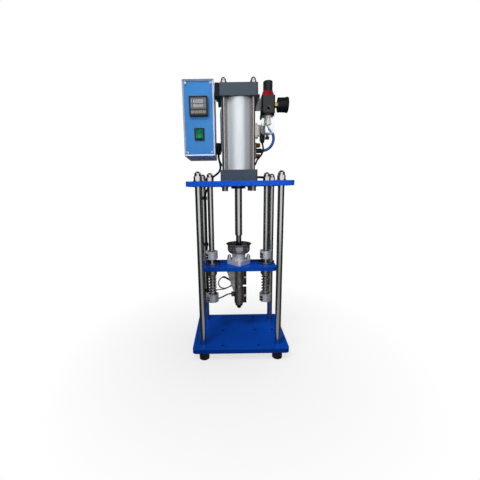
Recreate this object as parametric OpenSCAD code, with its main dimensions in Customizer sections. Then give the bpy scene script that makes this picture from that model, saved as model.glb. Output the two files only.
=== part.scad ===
// Benchtop plastic injection machine. An air cylinder on a four-column frame drives a plunger through
// a hopper into a heated barrel, and the barrel hangs in a carriage that floats on two sprung rods.
// Lengths are millimetres. The origin is the middle of the mould table's top face, on the injection
// axis, with +Z up and the operator at -Y.

/* [Plates and columns] */
// Width of the base and top plates
plate_w = 258; // [246:1:300]
// Depth of the base and top plates
plate_d = 200; // [196:1:240]
// Corner radius of the base and top plates
plate_r = 10; // [4:1:14]
// Thickness of the base plate
base_t = 12; // [10:0.5:20]
// Thickness of the top plate
top_t = 12; // [10:0.5:18]
// Distance between the left and right columns
column_x = 204; // [202:1:216]
// Distance between the front and back columns
column_y = 140; // [130:1:146]
// Diameter of a column
column_dia = 16; // [14:0.5:20]
// Clear height between the two plates
column_h = 424; // [400:1:480]

/* [Feet] */
// Diameter of a rubber foot
foot_dia = 27; // [20:1:29]
// Height of a rubber foot
foot_h = 20; // [14:1:30]
// Distance between the left and right feet
foot_x = 197; // [180:1:210]
// Distance between the front and back feet
foot_y = 170; // [164:1:176]

/* [Mould table holes] */
// Distance between the left and right holes under the mould
mould_x = 96; // [60:1:130]
// Distance between the front and back holes under the mould
mould_y = 160; // [120:1:164]
// Distance between the two outer holes
side_x = 200; // [170:1:220]
// Diameter of the mould holes
mould_hole = 8.5; // [6:0.5:10]

/* [Carriage and guide rods] */
// Distance between the two guide rods
guide_x = 154; // [140:1:156]
// Diameter of a guide rod
guide_dia = 16; // [14:0.5:17]
// Width of the carriage plate
carriage_w = 204; // [196:1:210]
// Depth of the carriage plate
carriage_d = 82; // [72:1:96]
// Thickness of the carriage plate
carriage_t = 12; // [10:0.5:18]
// Corner radius of the carriage plate
carriage_r = 8; // [2:1:14]
// Height of the carriage plate's underside above the base
carriage_z = 196; // [190:1:220]
// Length of a guide bushing
bushing_len = 37; // [30:1:45]
// Outside diameter of a guide bushing
bushing_dia = 28; // [24:0.5:30]
// Diameter of a bushing's flange
bushing_flange = 48; // [46:0.5:52]
// Thickness of a bushing's flange
bushing_flange_t = 6; // [5:0.5:8]
// Diameter of the circle of bushing screws
bushing_pcd = 38; // [36:0.5:40]

/* [Collars and springs] */
// Diameter of a stop collar
collar_dia = 34; // [33:0.5:40]
// Height of a stop collar
collar_h = 22; // [20:1:28]
// Depth of the spring seat in a collar
seat_depth = 4; // [2:0.5:5]
// Free height between a bushing and the upper collar
float_gap = 9; // [6:0.5:14]
// Outside diameter of a return spring
spring_od = 24; // [23:0.5:26]
// Diameter of the spring wire
spring_wire = 3; // [2:0.1:3.2]
// Length of a return spring as fitted
spring_len = 64; // [60:1:76]
// Open turns of a return spring
spring_turns = 6; // [4:1:7]

/* [Barrel and hopper] */
// Outside diameter of the barrel
barrel_dia = 22; // [20:0.5:26]
// Bore of the barrel
barrel_bore = 15.3; // [15.2:0.1:16]
// Height of the barrel's lower end above the base
barrel_z = 86; // [80:1:88]
// Height of the nozzle below the barrel
nozzle_h = 15.5; // [12:0.5:24]
// Diameter of the nozzle's outlet
nozzle_hole = 4; // [2:0.5:5]
// Side of the square barrel flange
flange_side = 52; // [50:1:56]
// Distance across the flange's cut corners
flange_cut = 66; // [64:1:70]
// Thickness of the barrel flange
flange_t = 13; // [10:0.5:18]
// Distance between the two flange studs
flange_stud_x = 54; // [52:0.5:56]
// Diameter of the boss under the hopper
boss_dia = 38; // [34:0.5:40]
// Height of the boss above the flange
boss_h = 17; // [12:0.5:24]
// Diameter of the hopper's rim
hopper_rim = 70; // [66:0.5:90]
// Diameter of the hopper's bowl
hopper_dia = 63; // [58:0.5:64]
// Height of the hopper
hopper_h = 28; // [24:0.5:40]
// Thickness of the hopper's sheet
hopper_t = 1.2; // [0.8:0.1:2]
// Outside diameter of a heater band
band_dia = 27; // [27:0.5:32]
// Height of the upper heater band
band_upper_h = 48; // [40:0.5:49]
// Height of the lower heater band
band_lower_h = 47; // [40:0.5:48]
// Length of bare barrel between the bands
band_gap = 8; // [8:0.5:12]
// Length of bare barrel below the lower band
band_low = 3; // [1:0.5:4]

/* [Air cylinder] */
// Width of the square cylinder caps
cap_w = 94; // [92:1:104]
// Height of a cylinder cap
cap_h = 29; // [28:0.5:34]
// Bore of the cylinder
bore_dia = 80; // [76:0.5:81]
// Wall of the cylinder tube
tube_wall = 3; // [2:0.1:3.5]
// Distance between the tie rods
tie_x = 72; // [70:0.5:74]
// Diameter of a tie rod
tie_dia = 10; // [8.5:0.1:10]
// Diameter of the piston rod
rod_dia = 20; // [18:0.5:24]
// Diameter of the plunger
plunger_dia = 15; // [14:0.1:15]
// Piston travel left below the pictured position
stroke_down = 36; // [30:1:36]
// Piston travel left above the pictured position
stroke_up = 89; // [70:1:100]
// Height of the piston rod's end above the base
rod_end_z = 289; // [286:1:300]
// Length of the plunger below the piston rod
plunger_len = 123; // [110:1:130]
// Thickness of the piston
piston_t = 28; // [24:1:30]
// Diameter of the rod gland
gland_dia = 39; // [36:0.5:42]
// Height of the gland below the top plate
gland_drop = 6; // [4:0.5:10]

/* [Control box] */
// Width of the control box
box_w = 83; // [80:1:110]
// Height of the control box
box_h = 190; // [186:1:240]
// Depth of the control box
box_d = 124; // [118:1:150]
// Sheet thickness of the control box
box_wall = 1.5; // [1:0.1:2.5]
// Width of the rim around the front panel
box_rim = 4.5; // [3:0.5:6]
// Gap between the box and the cylinder's cap
box_gap = 14; // [12:0.5:20]
// Distance of the box's front behind the injection axis
box_y = 16; // [10:1:24]
// Height of the box's underside above the top plate
box_z = 70.5; // [66:0.5:76]
// Side of the temperature controller's bezel
bezel_side = 48; // [46:0.5:52]
// Height of the controller's centre above the box's underside
controller_up = 125; // [120:1:150]
// Width of the rocker switch's frame
switch_w = 26; // [25:0.5:30]
// Height of the rocker switch's frame
switch_h = 30.5; // [30:0.5:34]
// Height of the switch's centre above the box's underside
switch_up = 56; // [40:1:70]

/* [Air preparation] */
// Side of the filter regulator's body
reg_side = 36; // [36:0.5:42]
// Height of the filter regulator's body
reg_h = 43.5; // [42:0.5:56]
// Gap between the cylinder's cap and the regulator
reg_gap = 17.5; // [16:0.5:26]
// Distance of the regulator behind the injection axis
reg_y = 40; // [36:1:44]
// Drop of the regulator's top below the top cap's top
reg_drop = 6.5; // [0:0.5:10]
// Diameter of the regulator's knob
knob_dia = 25; // [22:0.5:30]
// Height of the regulator's knob
knob_h = 25; // [20:0.5:32]
// Height of the lock ring
ring_h = 13; // [8:0.5:16]
// Diameter of the filter bowl
bowl_dia = 36; // [34:0.5:36]
// Height of the filter bowl
bowl_h = 53.5; // [46:0.5:60]
// Diameter of the pressure gauge
gauge_dia = 37; // [36:0.5:50]
// Depth of the pressure gauge
gauge_depth = 27; // [22:0.5:34]
// Bore of the threaded air ports
port_dia = 11.4; // [11:0.1:12.5]

/* [Valve] */
// Width of the valve body
valve_w = 36; // [32:0.5:40]
// Thickness of the valve body
valve_d = 22; // [20:0.5:26]
// Height of the valve body
valve_h = 64; // [62:0.5:80]
// Distance between the valve's ports
valve_pitch = 15; // [15:0.1:18]
// Height of the valve above the top plate
valve_z = 60; // [56:0.5:66]
// Distance of the valve's right face from the injection axis
valve_x = 52; // [50:0.5:56]
// Distance of the valve's middle behind the injection axis
valve_y = 70; // [69:0.5:74]

/* [Clearances] */
// Gap around a screw or stud in a plain hole
hole_gap = 0.25; // [0.1:0.05:0.4]
// Gap around a shaft that slides or turns in its bore
running_gap = 0.05; // [0.02:0.01:0.1]
// Gap between seated pieces of one assembly
seat_gap = 0.05; // [0.02:0.01:0.1]
// Gap between a moving piece and what it comes to rest against
rest_gap = 0.3; // [0.2:0.05:0.4]

/* [Hidden] */
$fn = 64;

// Frame heights
top_z = column_h + top_t;
foot_z = -base_t - foot_h;

// Screw sizes
column_stud = 12;
column_screw = 8;
column_screw_head = 15;
column_screw_cone = 4;
column_screw_sink = 0.4;
column_screw_socket = 5;
column_screw_grip = 18;
foot_screw = 5;
foot_screw_head = 10;
foot_screw_head_h = 4;
foot_screw_grip = 8;
foot_recess = 9;
cap_screw = 10;
cap_screw_head = 16;
cap_screw_head_h = 10;
cap_screw_grip = 13;
cap_screw_socket = 8;
cap_washer = 20;
cap_washer_t = 2;
plate_washer = 24;
plate_washer_t = 2.5;
plate_nut_flats = 18;
plate_nut_hex_h = 10;
plate_nut_dome = 17;
plate_nut_h = 22;
stud_grip = 13;
tie_stud = 8;
tie_nut_flats = 13;
tie_nut_hex_h = 6.5;
tie_nut_dome = 12.5;
tie_nut_h = 15;
tie_grip = 12;
tie_stud_grip = 9;

// Carriage heights
carriage_top = carriage_z + carriage_t;
bushing_top = carriage_top + bushing_flange_t;
bushing_bottom = bushing_top - bushing_len;
upper_collar_z = bushing_top + float_gap;
lower_collar_top = bushing_bottom - spring_len + seat_depth - rest_gap;
lower_collar_z = lower_collar_top - collar_h;
guide_len = column_h - lower_collar_z;
bushing_screw = 4;
bushing_screw_head = 7;
bushing_screw_head_h = 4;
bushing_screw_sink = bushing_screw_head_h + 2 * seat_gap;
bushing_screw_grip = 9;
bushing_screw_socket = 3;
collar_screw = 4;
collar_screw_head = 7;
collar_screw_head_h = 4;
collar_screw_len = 14;
collar_screw_socket = 3;
collar_screw_r = (guide_dia + collar_dia) / 4;
collar_screw_low = 5;
collar_screw_step = 8;
collar_slit = 1.6;
collar_head_y = 5;
seat_room = 0.75;
seat_dia = spring_od + 2 * seat_room;

// Spring turns: one close turn at each end, open turns between them
spring_end_gap = 0.7;
spring_close = spring_wire + spring_end_gap;
spring_r = (spring_od - spring_wire) / 2;
spring_z = spring_len - spring_wire - 2 * seat_gap;
spring_pitch = (spring_z - 2 * spring_close) / spring_turns;
spring_steps = 8;
function spring_rise(t) =
    t < 1 ? t * spring_close
    : t < 1 + spring_turns ? spring_close + (t - 1) * spring_pitch
    : spring_z - (2 + spring_turns - t) * spring_close;
function spring_point(t) = [spring_r * cos(360 * t), spring_r * sin(360 * t),
                            spring_wire / 2 + seat_gap + spring_rise(t)];
spring_path = [for (i = [0:(spring_turns + 2) * spring_steps]) spring_point(i / spring_steps)];
spring_self_gap = min([for (i = [0:len(spring_path) - 1], j = [i + 6:len(spring_path) - 1])
    if (j < len(spring_path)) norm(spring_path[i] - spring_path[j])]) - spring_wire;
echo(least_gap_between_spring_turns = spring_self_gap);

// Barrel heights
flange_top = carriage_top + flange_t;
boss_top = flange_top + boss_h;
hopper_bend = 13;
hopper_flare = 5;
hopper_hole = barrel_bore + 1;
nozzle_spigot = 8;
nozzle_tip_r = 6.5;
nozzle_shoulder = 4;
band_lower_z = barrel_z + band_low;
band_upper_z = band_lower_z + band_lower_h + band_gap;
band_ear = 8;
band_ear_t = 2.5;
band_slit = 3;
band_screw = 4;
band_screw_head = 7;
band_screw_head_h = 3;
terminal_w = 9;
terminal_d = 10;
terminal_h = 12;
terminal_up = 20;
cover_out_top = 23;
cover_out_low = 3.5;
cover_gap = 6;
cover_low_z = band_lower_z + terminal_up + terminal_h + cover_gap;
cover_d = 16;
cover_wall = 1.2;
flange_stud = 6;
flange_washer = 12;
flange_washer_t = 1.6;
flange_nut_flats = 10;
flange_nut_hex_h = 5;
flange_nut_dome = 9.5;
flange_nut_h = 12;
flange_stud_grip = 9;

// Cylinder heights
cushion = 3;
head_room = 8;
rod_spigot = 14;
piston_nut_flats = 22;
piston_nut_h = 8;
tube_len = cushion + stroke_down + piston_t + piston_nut_h + stroke_up + head_room;
lower_cap_z = top_z;
tube_z = lower_cap_z + cap_h;
upper_cap_z = tube_z + tube_len;
cap_top = upper_cap_z + cap_h;
tube_od = bore_dia + 2 * tube_wall;
tube_seat = 4;
cap_r = 5;
gland_rise = 16;
piston_z = tube_z + cushion + stroke_down;
seal_w = 5;
seal_depth = 4;
plunger_spigot = 10;
plunger_spigot_len = 20;
chamfer = 1.5;
cap_port_z = cap_h / 2;

// Air fittings
thread_dia = port_dia - 0.2;
thread_len = 8;
port_depth = 12;
fitting_dia = 13;
fitting_len = 18;
elbow_out = 13;
elbow_dia = 12;
elbow_len = 16;
air_line = 6;
hose_dia = 8;

// Valve places
valve_bottom = top_z + valve_z;
valve_left = valve_x - valve_w;
port_p_z = valve_bottom + valve_h / 2 - 3;
port_a_z = port_p_z + valve_pitch;
port_b_z = port_p_z - valve_pitch;
line_a_up = 12;
line_b_down = 18;
line_a_z = port_p_z + line_a_up;
line_b_z = port_p_z - line_b_down;
pilot_h = 6;
pilot_over = 8;
pilot_inset = 1;
coil_w = 30;
coil_h = 28;
coil_r = 3;
coil_over = 14;
coil_z = valve_bottom + valve_h + pilot_h;
plug_w = 13.5;
plug_h = 38;
plug_r = 2;
plug_inset = 1;
plug_drop = 13;
silencer_dia = 12.5;
silencer_bevel = 2;
silencer_len = 11;
silencer_hex = 14;
silencer_hex_h = 4;
bracket_t = 3;
valve_bracket_foot = 22;
valve_bracket_inset = 4;

// Regulator places
reg_x = cap_w / 2 + reg_gap + reg_side / 2;
reg_top = cap_top - reg_drop;
reg_z = reg_top - reg_h;
reg_r = 5;
inlet_up = 11;
gauge_up = 23;
bracket_up = 9;
inlet_z = reg_z + inlet_up;
gauge_z = reg_z + gauge_up;
bracket_z = reg_z + bracket_up;
bracket_h = 31;
bracket_web = 4;
bracket_flange = 14;
bracket_flange_t = 4;
ring_low = 36;
ring_high = 27;
ring_hole = 20;
knob_z = reg_top + ring_h + rest_gap;
spindle_dia = 8;
spindle_sink = 15;
knob_top_wall = 3;
knob_grip_r = 1.2;
knob_grips = 18;
bowl_wall = 2.5;
bowl_neck = 30;
bowl_neck_h = 4;
bowl_round = 12;
drain_hole = 6.2;
drain_stem = 6;
drain_cap = 11;
drain_cap_h = 7.5;
drain_gap = 4;
drain_head = 9;
drain_head_h = 2;
element_dia = 18;
element_h = 28;
element_base = 21;
element_base_h = 3;
stem_flats = 13;
stem_len = 9;
stem_thread = 9;
stem_thread_len = 7;
gauge_x = reg_x + reg_side / 2 + stem_len;
gauge_back = 4;
gauge_bezel_w = 2;
gauge_bezel_len = 6;
gauge_recess = 10;
gauge_wall = 2.5;
gauge_recess_dia = gauge_dia - 2 * gauge_wall;
needle_pin = 2;
needle_sink = 3;
needle_lift = 2;
needle_t = 0.8;
needle_hub = 5;
needle_tip = gauge_recess_dia / 2 - 2;
needle_tail = 5;
needle_w = 2.2;

// Control box places
box_x1 = -cap_w / 2 - box_gap;
box_x0 = box_x1 - box_w;
box_xm = (box_x0 + box_x1) / 2;
box_bottom = top_z + box_z;
box_back = box_y + box_d;
panel_inset = 0.6;
panel_t = 2;
panel_y = box_y + panel_inset;
panel_gap = 0.15;
panel_w = box_w - 2 * box_rim - 2 * panel_gap;
panel_h = box_h - 2 * box_rim - 2 * panel_gap;
panel_screw = 3;
panel_screw_head = 6;
panel_screw_head_h = 1.8;
panel_screw_len = 9;
panel_screw_inset = 4;
lug_side = 9;
lug_d = 10;
vent_w = 24;
vent_d = 6;
vent_step = 9;
vent_y = 14;
vent_x = 15;
vent_rows = 9;
bracket_block_d = 26;
bracket_block_h = 10.5;
bracket_block_y = box_y + 2;
bar_lip = 10;
bar_lip_d = 6;
flange_front = 10;
bar_low = 1;
bar_z = upper_cap_z - bar_low;
bar_h = cap_h + bar_low;
bar_front = cap_w / 2 - 1;
controller_z = box_bottom + controller_up;
bezel_t = 7;
bezel_rim = 3;
bezel_floor = 1.2;
bezel_over = 1.7;
case_side = bezel_side - 2 * bezel_over;
case_d = 70;
case_gap = 0.2;
button_w = 8;
button_h = 6;
button_pitch = 10;
button_drop = 15;
button_out = 1.2;
button_in = 5;
button_travel = 0.8;
button_gap = 0.25;
face_y = panel_y - bezel_t + bezel_floor;
switch_z = box_bottom + switch_up;
switch_bezel = 2.5;
switch_lip_w = 2;
switch_lip_h = 1;
switch_wall_w = 4;
switch_wall_h = 2;
switch_body_w = switch_w - 2 * switch_lip_w;
switch_body_h = switch_h - 2 * switch_lip_h;
switch_body_d = 22;
rocker_w = switch_w - 2 * switch_wall_w;
rocker_room = 17;
rocker_open_h = switch_h - 2 * switch_wall_h;
rocker_half = 11;
rocker_high = 9.5;
rocker_low = 5;
rocker_mid = 5.8;
rocker_back = 4;
rocker_back_half = 8;
rocker_pin = 3;
rocker_pin_out = 1.2;
pivot_y = panel_y + 2;
gland_body = 14;
gland_wall = 16;
gland_reach = 7;
gland_up = 34;
gland_len = 27;
gland_y1 = 70;
gland_y2 = 105;
inlet_gland = 16;
inlet_gland_len = 14;
inlet_gland_nut = 20;
inlet_gland_nut_h = 5;
inlet_gland_up = 24;

// Cable sizes and the routes that the cables and hoses follow
heater_cable_dia = 6;
coil_cable_dia = 5;
lower_lead_dia = 4;
upper_lead_dia = 3;
sensor_dia = 3.5;
route_steps = 2;
cable_hole = 12;
cable_hole_at = [-83, 58];
cable_at = [-95, 60];
clip_h = 10;
clip_wall = 2;
clip_z = [392, 252, 103];
supply_route = [[82.5, 71, 611], [82.5, 71, 609], [84.5, 71, 600], [89.5, 72, 590.5], [93, 71.5, 585],
    [101, 71, 575], [105, 71, 564], [105, 71, 552.5], [101, 70.5, 541.5], [93.5, 70, 532.5],
    [83.5, 69.5, 527], [72, 70, 525], [70, 70, 525]];
line_a_route = [[-16, 60, 651.5], [-18, 60, 651.5], [-28, 60, 649.5], [-36.5, 60, 644],
    [-42, 60, 635.5], [-44, 60, 625.5], [-44, 60, 600], [-44, 60, 575], [-44, 60, 550], [-44, 60, 533],
    [-42.5, 61.5, 523.5], [-37, 64.5, 515], [-28.5, 68, 509], [-18, 70, 507], [-2, 70, 507]];
line_b_route = [[16, 60, 450.5], [36, 60, 450.5], [52, 60, 450.5], [66.5, 64, 450.5], [77, 74.5, 450.5],
    [81, 89, 450.5], [77, 103.5, 451], [66.5, 114, 452], [52, 118.5, 455.5], [37.5, 120.5, 464],
    [24, 122, 478], [12, 123, 495], [-1, 124, 512], [-16, 124, 526], [-30, 120.5, 534], [-40.5, 110.5, 537],
    [-44, 97, 537], [-40.5, 83.5, 537], [-30.5, 73.5, 537], [-17, 70, 537], [-2, 70, 537]];
coil_cable_route = [[73, 70, 553], [73, 70, 546], [74, 65, 538], [75, 61, 528], [71, 59, 516],
    [65, 59, 507], [58, 61, 499], [55, 69, 492], [54, 79, 488], [50, 88, 485], [41, 93, 481],
    [30, 95, 478], [16, 96, 475], [-2, 97, 473], [-19, 98, 474], [-35, 100, 480], [-47, 103, 492],
    [-54, 105, 508], [-54, 105, 520.5]];
heater_cable_route = [[-54, 70, 520.5], [-54, 70, 508], [-51, 70, 495], [-49, 69, 483], [-51, 67, 471],
    [-58, 64, 462], [-69, 61, 454], [-78, 59, 445], [-82, 58, 434], [-84.5, 58, 424.5], [-89.5, 59, 416],
    [-93.5, 60, 407.5], [-95, 60, 400], [-95, 60, 396], [-95, 60, 386], [-95, 60, 340], [-95, 60, 300],
    [-95, 60, 260], [-95, 60, 220], [-95, 60, 180], [-95, 60, 140], [-95, 60, 96]];
sensor_route = [[-25, 0, 157], [-34, 2, 162], [-44, 4, 166], [-54, 6, 160], [-60, 8, 147],
    [-56, 7, 135], [-45, 4, 131], [-35, 1, 134], [-27, 0, 138], [-19, 0, 140], [-11.2, 0, 140]];
lead_upper_route = [[-93, 60.5, 95.5], [-91.5, 59, 88], [-86, 54, 86], [-79, 46, 94], [-73, 36, 107],
    [-67, 26, 117], [-60, 20, 121], [-52, 16, 123], [-43, 12, 126], [-33, 10, 131], [-25, 8, 137],
    [-20, 6, 145]];
lead_lower_route = [[-97, 59.5, 95.5], [-96, 58, 85], [-91, 53, 77], [-82, 44, 75], [-72, 34, 80],
    [-63, 26, 89], [-54, 19, 96], [-46, 13, 102], [-38, 7, 109], [-30, 2, 114], [-22, 0, 116]];

// Sweep of a round tube along a list of points
function unit(v) = v / norm(v);
function end_at(p, i) = p[max(0, min(len(p) - 1, i))];
function curve_at(p, i, t) =
    let (a = end_at(p, i - 1), b = p[i], c = end_at(p, i + 1), d = end_at(p, i + 2))
    0.5 * (2 * b + (c - a) * t + (2 * a - 5 * b + 4 * c - d) * t * t
        + (3 * b - a - 3 * c + d) * t * t * t);
// A smooth curve through the points, with straight first and last runs
function route_at(p, i, t) =
    i == 0 || i == len(p) - 2 ? p[i] + (p[i + 1] - p[i]) * t : curve_at(p, i, t);
function smooth_path(p, steps) =
    concat([for (i = [0:len(p) - 2], k = [0:steps - 1]) route_at(p, i, k / steps)], [p[len(p) - 1]]);
function heading(p, i) = unit(end_at(p, i + 1) - end_at(p, i - 1));
function any_normal(t) = unit(cross(t, abs(t[2]) < 0.8 ? [0, 0, 1] : [0, 1, 0]));
function flatten_to(n, t) = unit(n - (n * t) * t);
function normals(p) = [for (i = 0, n = any_normal(heading(p, 0)); i < len(p);
    i = i + 1, n = i < len(p) ? flatten_to(n, heading(p, i)) : n) n];

module swept_tube(path, dia, sides) {
    side_normals = normals(path);
    last = len(path) - 1;
    points = [for (i = [0:last], k = [0:sides - 1])
        let (t = heading(path, i), n = side_normals[i], b = cross(t, n), a = 360 * k / sides)
        path[i] + dia / 2 * (n * cos(a) + b * sin(a))];
    walls = [for (i = [0:last - 1], k = [0:sides - 1])
        let (a = i * sides + k, b = i * sides + (k + 1) % sides)
        each [[a, a + sides, b], [b, a + sides, b + sides]]];
    caps = [for (k = [1:sides - 2])
        each [[0, k, k + 1], [last * sides, last * sides + k + 1, last * sides + k]]];
    polyhedron(points = points, faces = concat(walls, caps), convexity = 6);
}

// Shapes that repeat
module rounded_rect(w, d, r) {
    square([w - 2 * r, d], center = true);
    square([w, d - 2 * r], center = true);
    at_corners(w - 2 * r, d - 2 * r) circle(r);
}

module at_corners(x, y) {
    for (sx = [-1, 1], sy = [-1, 1])
        translate([sx * x / 2, sy * y / 2]) children();
}

module at_sides(x) {
    for (sx = [-1, 1])
        translate([sx * x / 2, 0]) children();
}

module along_x(at) {
    translate(at) rotate([0, 90, 0]) children();
}

module along_y(at) {
    translate(at) rotate([-90, 0, 0]) children();
}

module ring(outer, inner, h) {
    difference() {
        cylinder(d = outer, h = h);
        translate([0, 0, -1]) cylinder(d = inner, h = h + 2);
    }
}

module hexagon(flats, h) {
    cylinder(d = flats / cos(30), h = h, $fn = 6);
}

module dome_nut(flats, hex_h, dome, h, stud, grip) {
    difference() {
        union() {
            hexagon(flats, hex_h);
            cylinder(d = dome, h = h - dome / 2);
            translate([0, 0, h - dome / 2]) sphere(d = dome);
        }
        translate([0, 0, -1]) cylinder(d = stud + 2 * seat_gap, h = grip + 2);
    }
}

module socket_screw(dia, head, head_h, grip, socket) {
    difference() {
        union() {
            cylinder(d = head, h = head_h);
            translate([0, 0, -grip]) cylinder(d = dia, h = grip + 1);
        }
        translate([0, 0, head_h / 2]) hexagon(socket, head_h);
    }
}

// Frame
module base_plate() {
    color("mediumblue") difference() {
        translate([0, 0, -base_t]) linear_extrude(base_t) rounded_rect(plate_w, plate_d, plate_r);
        translate([0, 0, -base_t - 1]) {
            at_corners(mould_x, mould_y) cylinder(d = mould_hole, h = base_t + 2);
            at_sides(mould_x) cylinder(d = mould_hole, h = base_t + 2);
            at_sides(side_x) cylinder(d = mould_hole, h = base_t + 2);
            at_corners(column_x, column_y) cylinder(d = column_screw + 2 * hole_gap, h = base_t + 2);
            at_corners(foot_x, foot_y) cylinder(d = foot_screw + 2 * seat_gap, h = foot_screw_grip + 2);
        }
        translate([0, 0, -base_t]) at_corners(column_x, column_y) {
            translate([0, 0, -1])
                cylinder(d = column_screw_head + 2 * hole_gap, h = 1 + column_screw_sink);
            translate([0, 0, column_screw_sink])
                cylinder(d1 = column_screw_head + 2 * hole_gap, d2 = column_screw + 2 * hole_gap,
                    h = column_screw_cone);
        }
    }
}

module rubber_feet() {
    color("black") translate([0, 0, foot_z]) at_corners(foot_x, foot_y) difference() {
        cylinder(d = foot_dia, h = foot_h);
        translate([0, 0, -1]) cylinder(d = foot_screw_head + 2, h = foot_recess + 1);
        cylinder(d = foot_screw + 2 * hole_gap, h = foot_h + 1);
    }
}

module column_screw_solid() {
    difference() {
        union() {
            cylinder(d1 = column_screw_head, d2 = column_screw, h = column_screw_cone);
            cylinder(d = column_screw, h = base_t + column_screw_grip);
        }
        translate([0, 0, -1]) hexagon(column_screw_socket, column_screw_cone);
    }
}

module foot_screw_solid() {
    translate([0, 0, foot_recess - foot_screw_head_h - seat_gap]) {
        cylinder(d = foot_screw_head, h = foot_screw_head_h);
        cylinder(d = foot_screw, h = foot_screw_head_h + foot_h - foot_recess + foot_screw_grip);
    }
}

module frame_screws() {
    color("dimgray") {
        translate([0, 0, -base_t + column_screw_sink]) at_corners(column_x, column_y) column_screw_solid();
        translate([0, 0, foot_z]) at_corners(foot_x, foot_y) foot_screw_solid();
        translate([0, 0, column_h - seat_gap]) at_corners(tie_x, tie_x) {
            translate([0, 0, -cap_washer_t]) ring(cap_washer, cap_screw + 2 * hole_gap, cap_washer_t);
            translate([0, 0, -cap_washer_t - seat_gap]) mirror([0, 0, 1])
                socket_screw(cap_screw, cap_screw_head, cap_screw_head_h,
                    cap_washer_t + top_t + cap_screw_grip, cap_screw_socket);
        }
    }
}

module frame_columns() {
    color("silver") at_corners(column_x, column_y) difference() {
        union() {
            cylinder(d = column_dia, h = column_h);
            cylinder(d = column_stud, h = top_z + plate_washer_t + stud_grip);
        }
        translate([0, 0, -1])
            cylinder(d = column_screw + 2 * seat_gap, h = column_screw_grip + 3);
    }
}

module top_plate() {
    color("mediumblue") difference() {
        translate([0, 0, column_h]) linear_extrude(top_t) rounded_rect(plate_w, plate_d, plate_r);
        translate([0, 0, column_h - 1]) {
            at_corners(column_x, column_y) cylinder(d = column_stud + 2 * hole_gap, h = top_t + 2);
            at_sides(guide_x) cylinder(d = column_stud + 2 * hole_gap, h = top_t + 2);
            at_corners(tie_x, tie_x) cylinder(d = cap_screw + 2 * hole_gap, h = top_t + 2);
            cylinder(d = gland_dia + 2 * hole_gap, h = top_t + 2);
            translate(cable_hole_at) cylinder(d = cable_hole, h = top_t + 2);
        }
    }
}

module plate_nut() {
    ring(plate_washer, column_stud + 2 * hole_gap, plate_washer_t - seat_gap);
    translate([0, 0, plate_washer_t])
        dome_nut(plate_nut_flats, plate_nut_hex_h, plate_nut_dome, plate_nut_h, column_stud, stud_grip);
}

module dome_nuts() {
    color("gainsboro") {
        translate([0, 0, top_z]) {
            at_corners(column_x, column_y) plate_nut();
            at_sides(guide_x) plate_nut();
        }
        translate([0, 0, cap_top]) at_corners(tie_x, tie_x)
            dome_nut(tie_nut_flats, tie_nut_hex_h, tie_nut_dome, tie_nut_h, tie_stud, tie_stud_grip);
    }
}

module guide_rods() {
    color("silver") at_sides(guide_x) {
        translate([0, 0, lower_collar_z]) cylinder(d = guide_dia, h = guide_len);
        translate([0, 0, column_h - 1])
            cylinder(d = column_stud, h = top_t + plate_washer_t + stud_grip + 1);
    }
}

// Collars and springs
module stop_collar() {
    difference() {
        cylinder(d = collar_dia, h = collar_h);
        translate([0, 0, -1]) cylinder(d = guide_dia + 2 * seat_gap, h = collar_h + 2);
        translate([0, 0, collar_h - seat_depth]) cylinder(d = seat_dia, h = seat_depth + 1);
        translate([-collar_dia, -collar_slit / 2, -1]) cube([collar_dia, collar_slit, collar_h + 2]);
        collar_screw_places() {
            cylinder(d = collar_screw_head + 2 * hole_gap, h = collar_dia);
            translate([0, 0, -collar_dia]) cylinder(d = collar_screw + 2 * seat_gap, h = collar_dia + 1);
        }
    }
}

module collar_screw_places() {
    for (k = [0, 1])
        translate([-collar_screw_r, -collar_head_y, collar_screw_low + k * collar_screw_step])
            rotate([90, 0, 0]) children();
}

module each_collar() {
    at_sides(guide_x) {
        translate([0, 0, upper_collar_z]) children();
        translate([0, 0, lower_collar_z]) children();
    }
}

module stop_collars() {
    color("lightgray") each_collar() stop_collar();
}

module collar_screws() {
    color("dimgray") each_collar() collar_screw_places() translate([0, 0, seat_gap])
        socket_screw(collar_screw, collar_screw_head, collar_screw_head_h, collar_screw_len,
            collar_screw_socket);
}

module return_springs() {
    color("slategray") translate([0, 0, lower_collar_top - seat_depth]) at_sides(guide_x)
        swept_tube(spring_path, spring_wire, 6);
}

// Air cylinder
module cap_block() {
    linear_extrude(cap_h) rounded_rect(cap_w, cap_w, cap_r);
}

module tube_groove() {
    ring(tube_od + 2 * seat_gap, bore_dia - 2 * seat_gap, tube_seat + 1);
}

module cap_port(z) {
    along_y([0, cap_w / 2 - port_depth, z]) cylinder(d = port_dia, h = port_depth + 1);
}

module bottom_cap() {
    color("darkslategray") difference() {
        translate([0, 0, lower_cap_z]) cap_block();
        translate([0, 0, tube_z - tube_seat]) tube_groove();
        translate([0, 0, lower_cap_z - 1]) {
            cylinder(d = rod_dia + 4 * hole_gap, h = cap_h + 2);
            cylinder(d = gland_dia + 2 * seat_gap, h = gland_rise + 1 + seat_gap);
            at_corners(tie_x, tie_x) cylinder(d = cap_screw + 2 * seat_gap, h = cap_screw_grip + 2);
        }
        translate([0, 0, tube_z - tie_grip]) at_corners(tie_x, tie_x)
            cylinder(d = tie_dia + 2 * seat_gap, h = tie_grip + 1);
        cap_port(lower_cap_z + cap_port_z);
    }
}

module cylinder_tube() {
    color("lightsteelblue") translate([0, 0, tube_z - tube_seat + seat_gap])
        ring(tube_od, bore_dia, tube_len + 2 * tube_seat - 2 * seat_gap);
}

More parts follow.
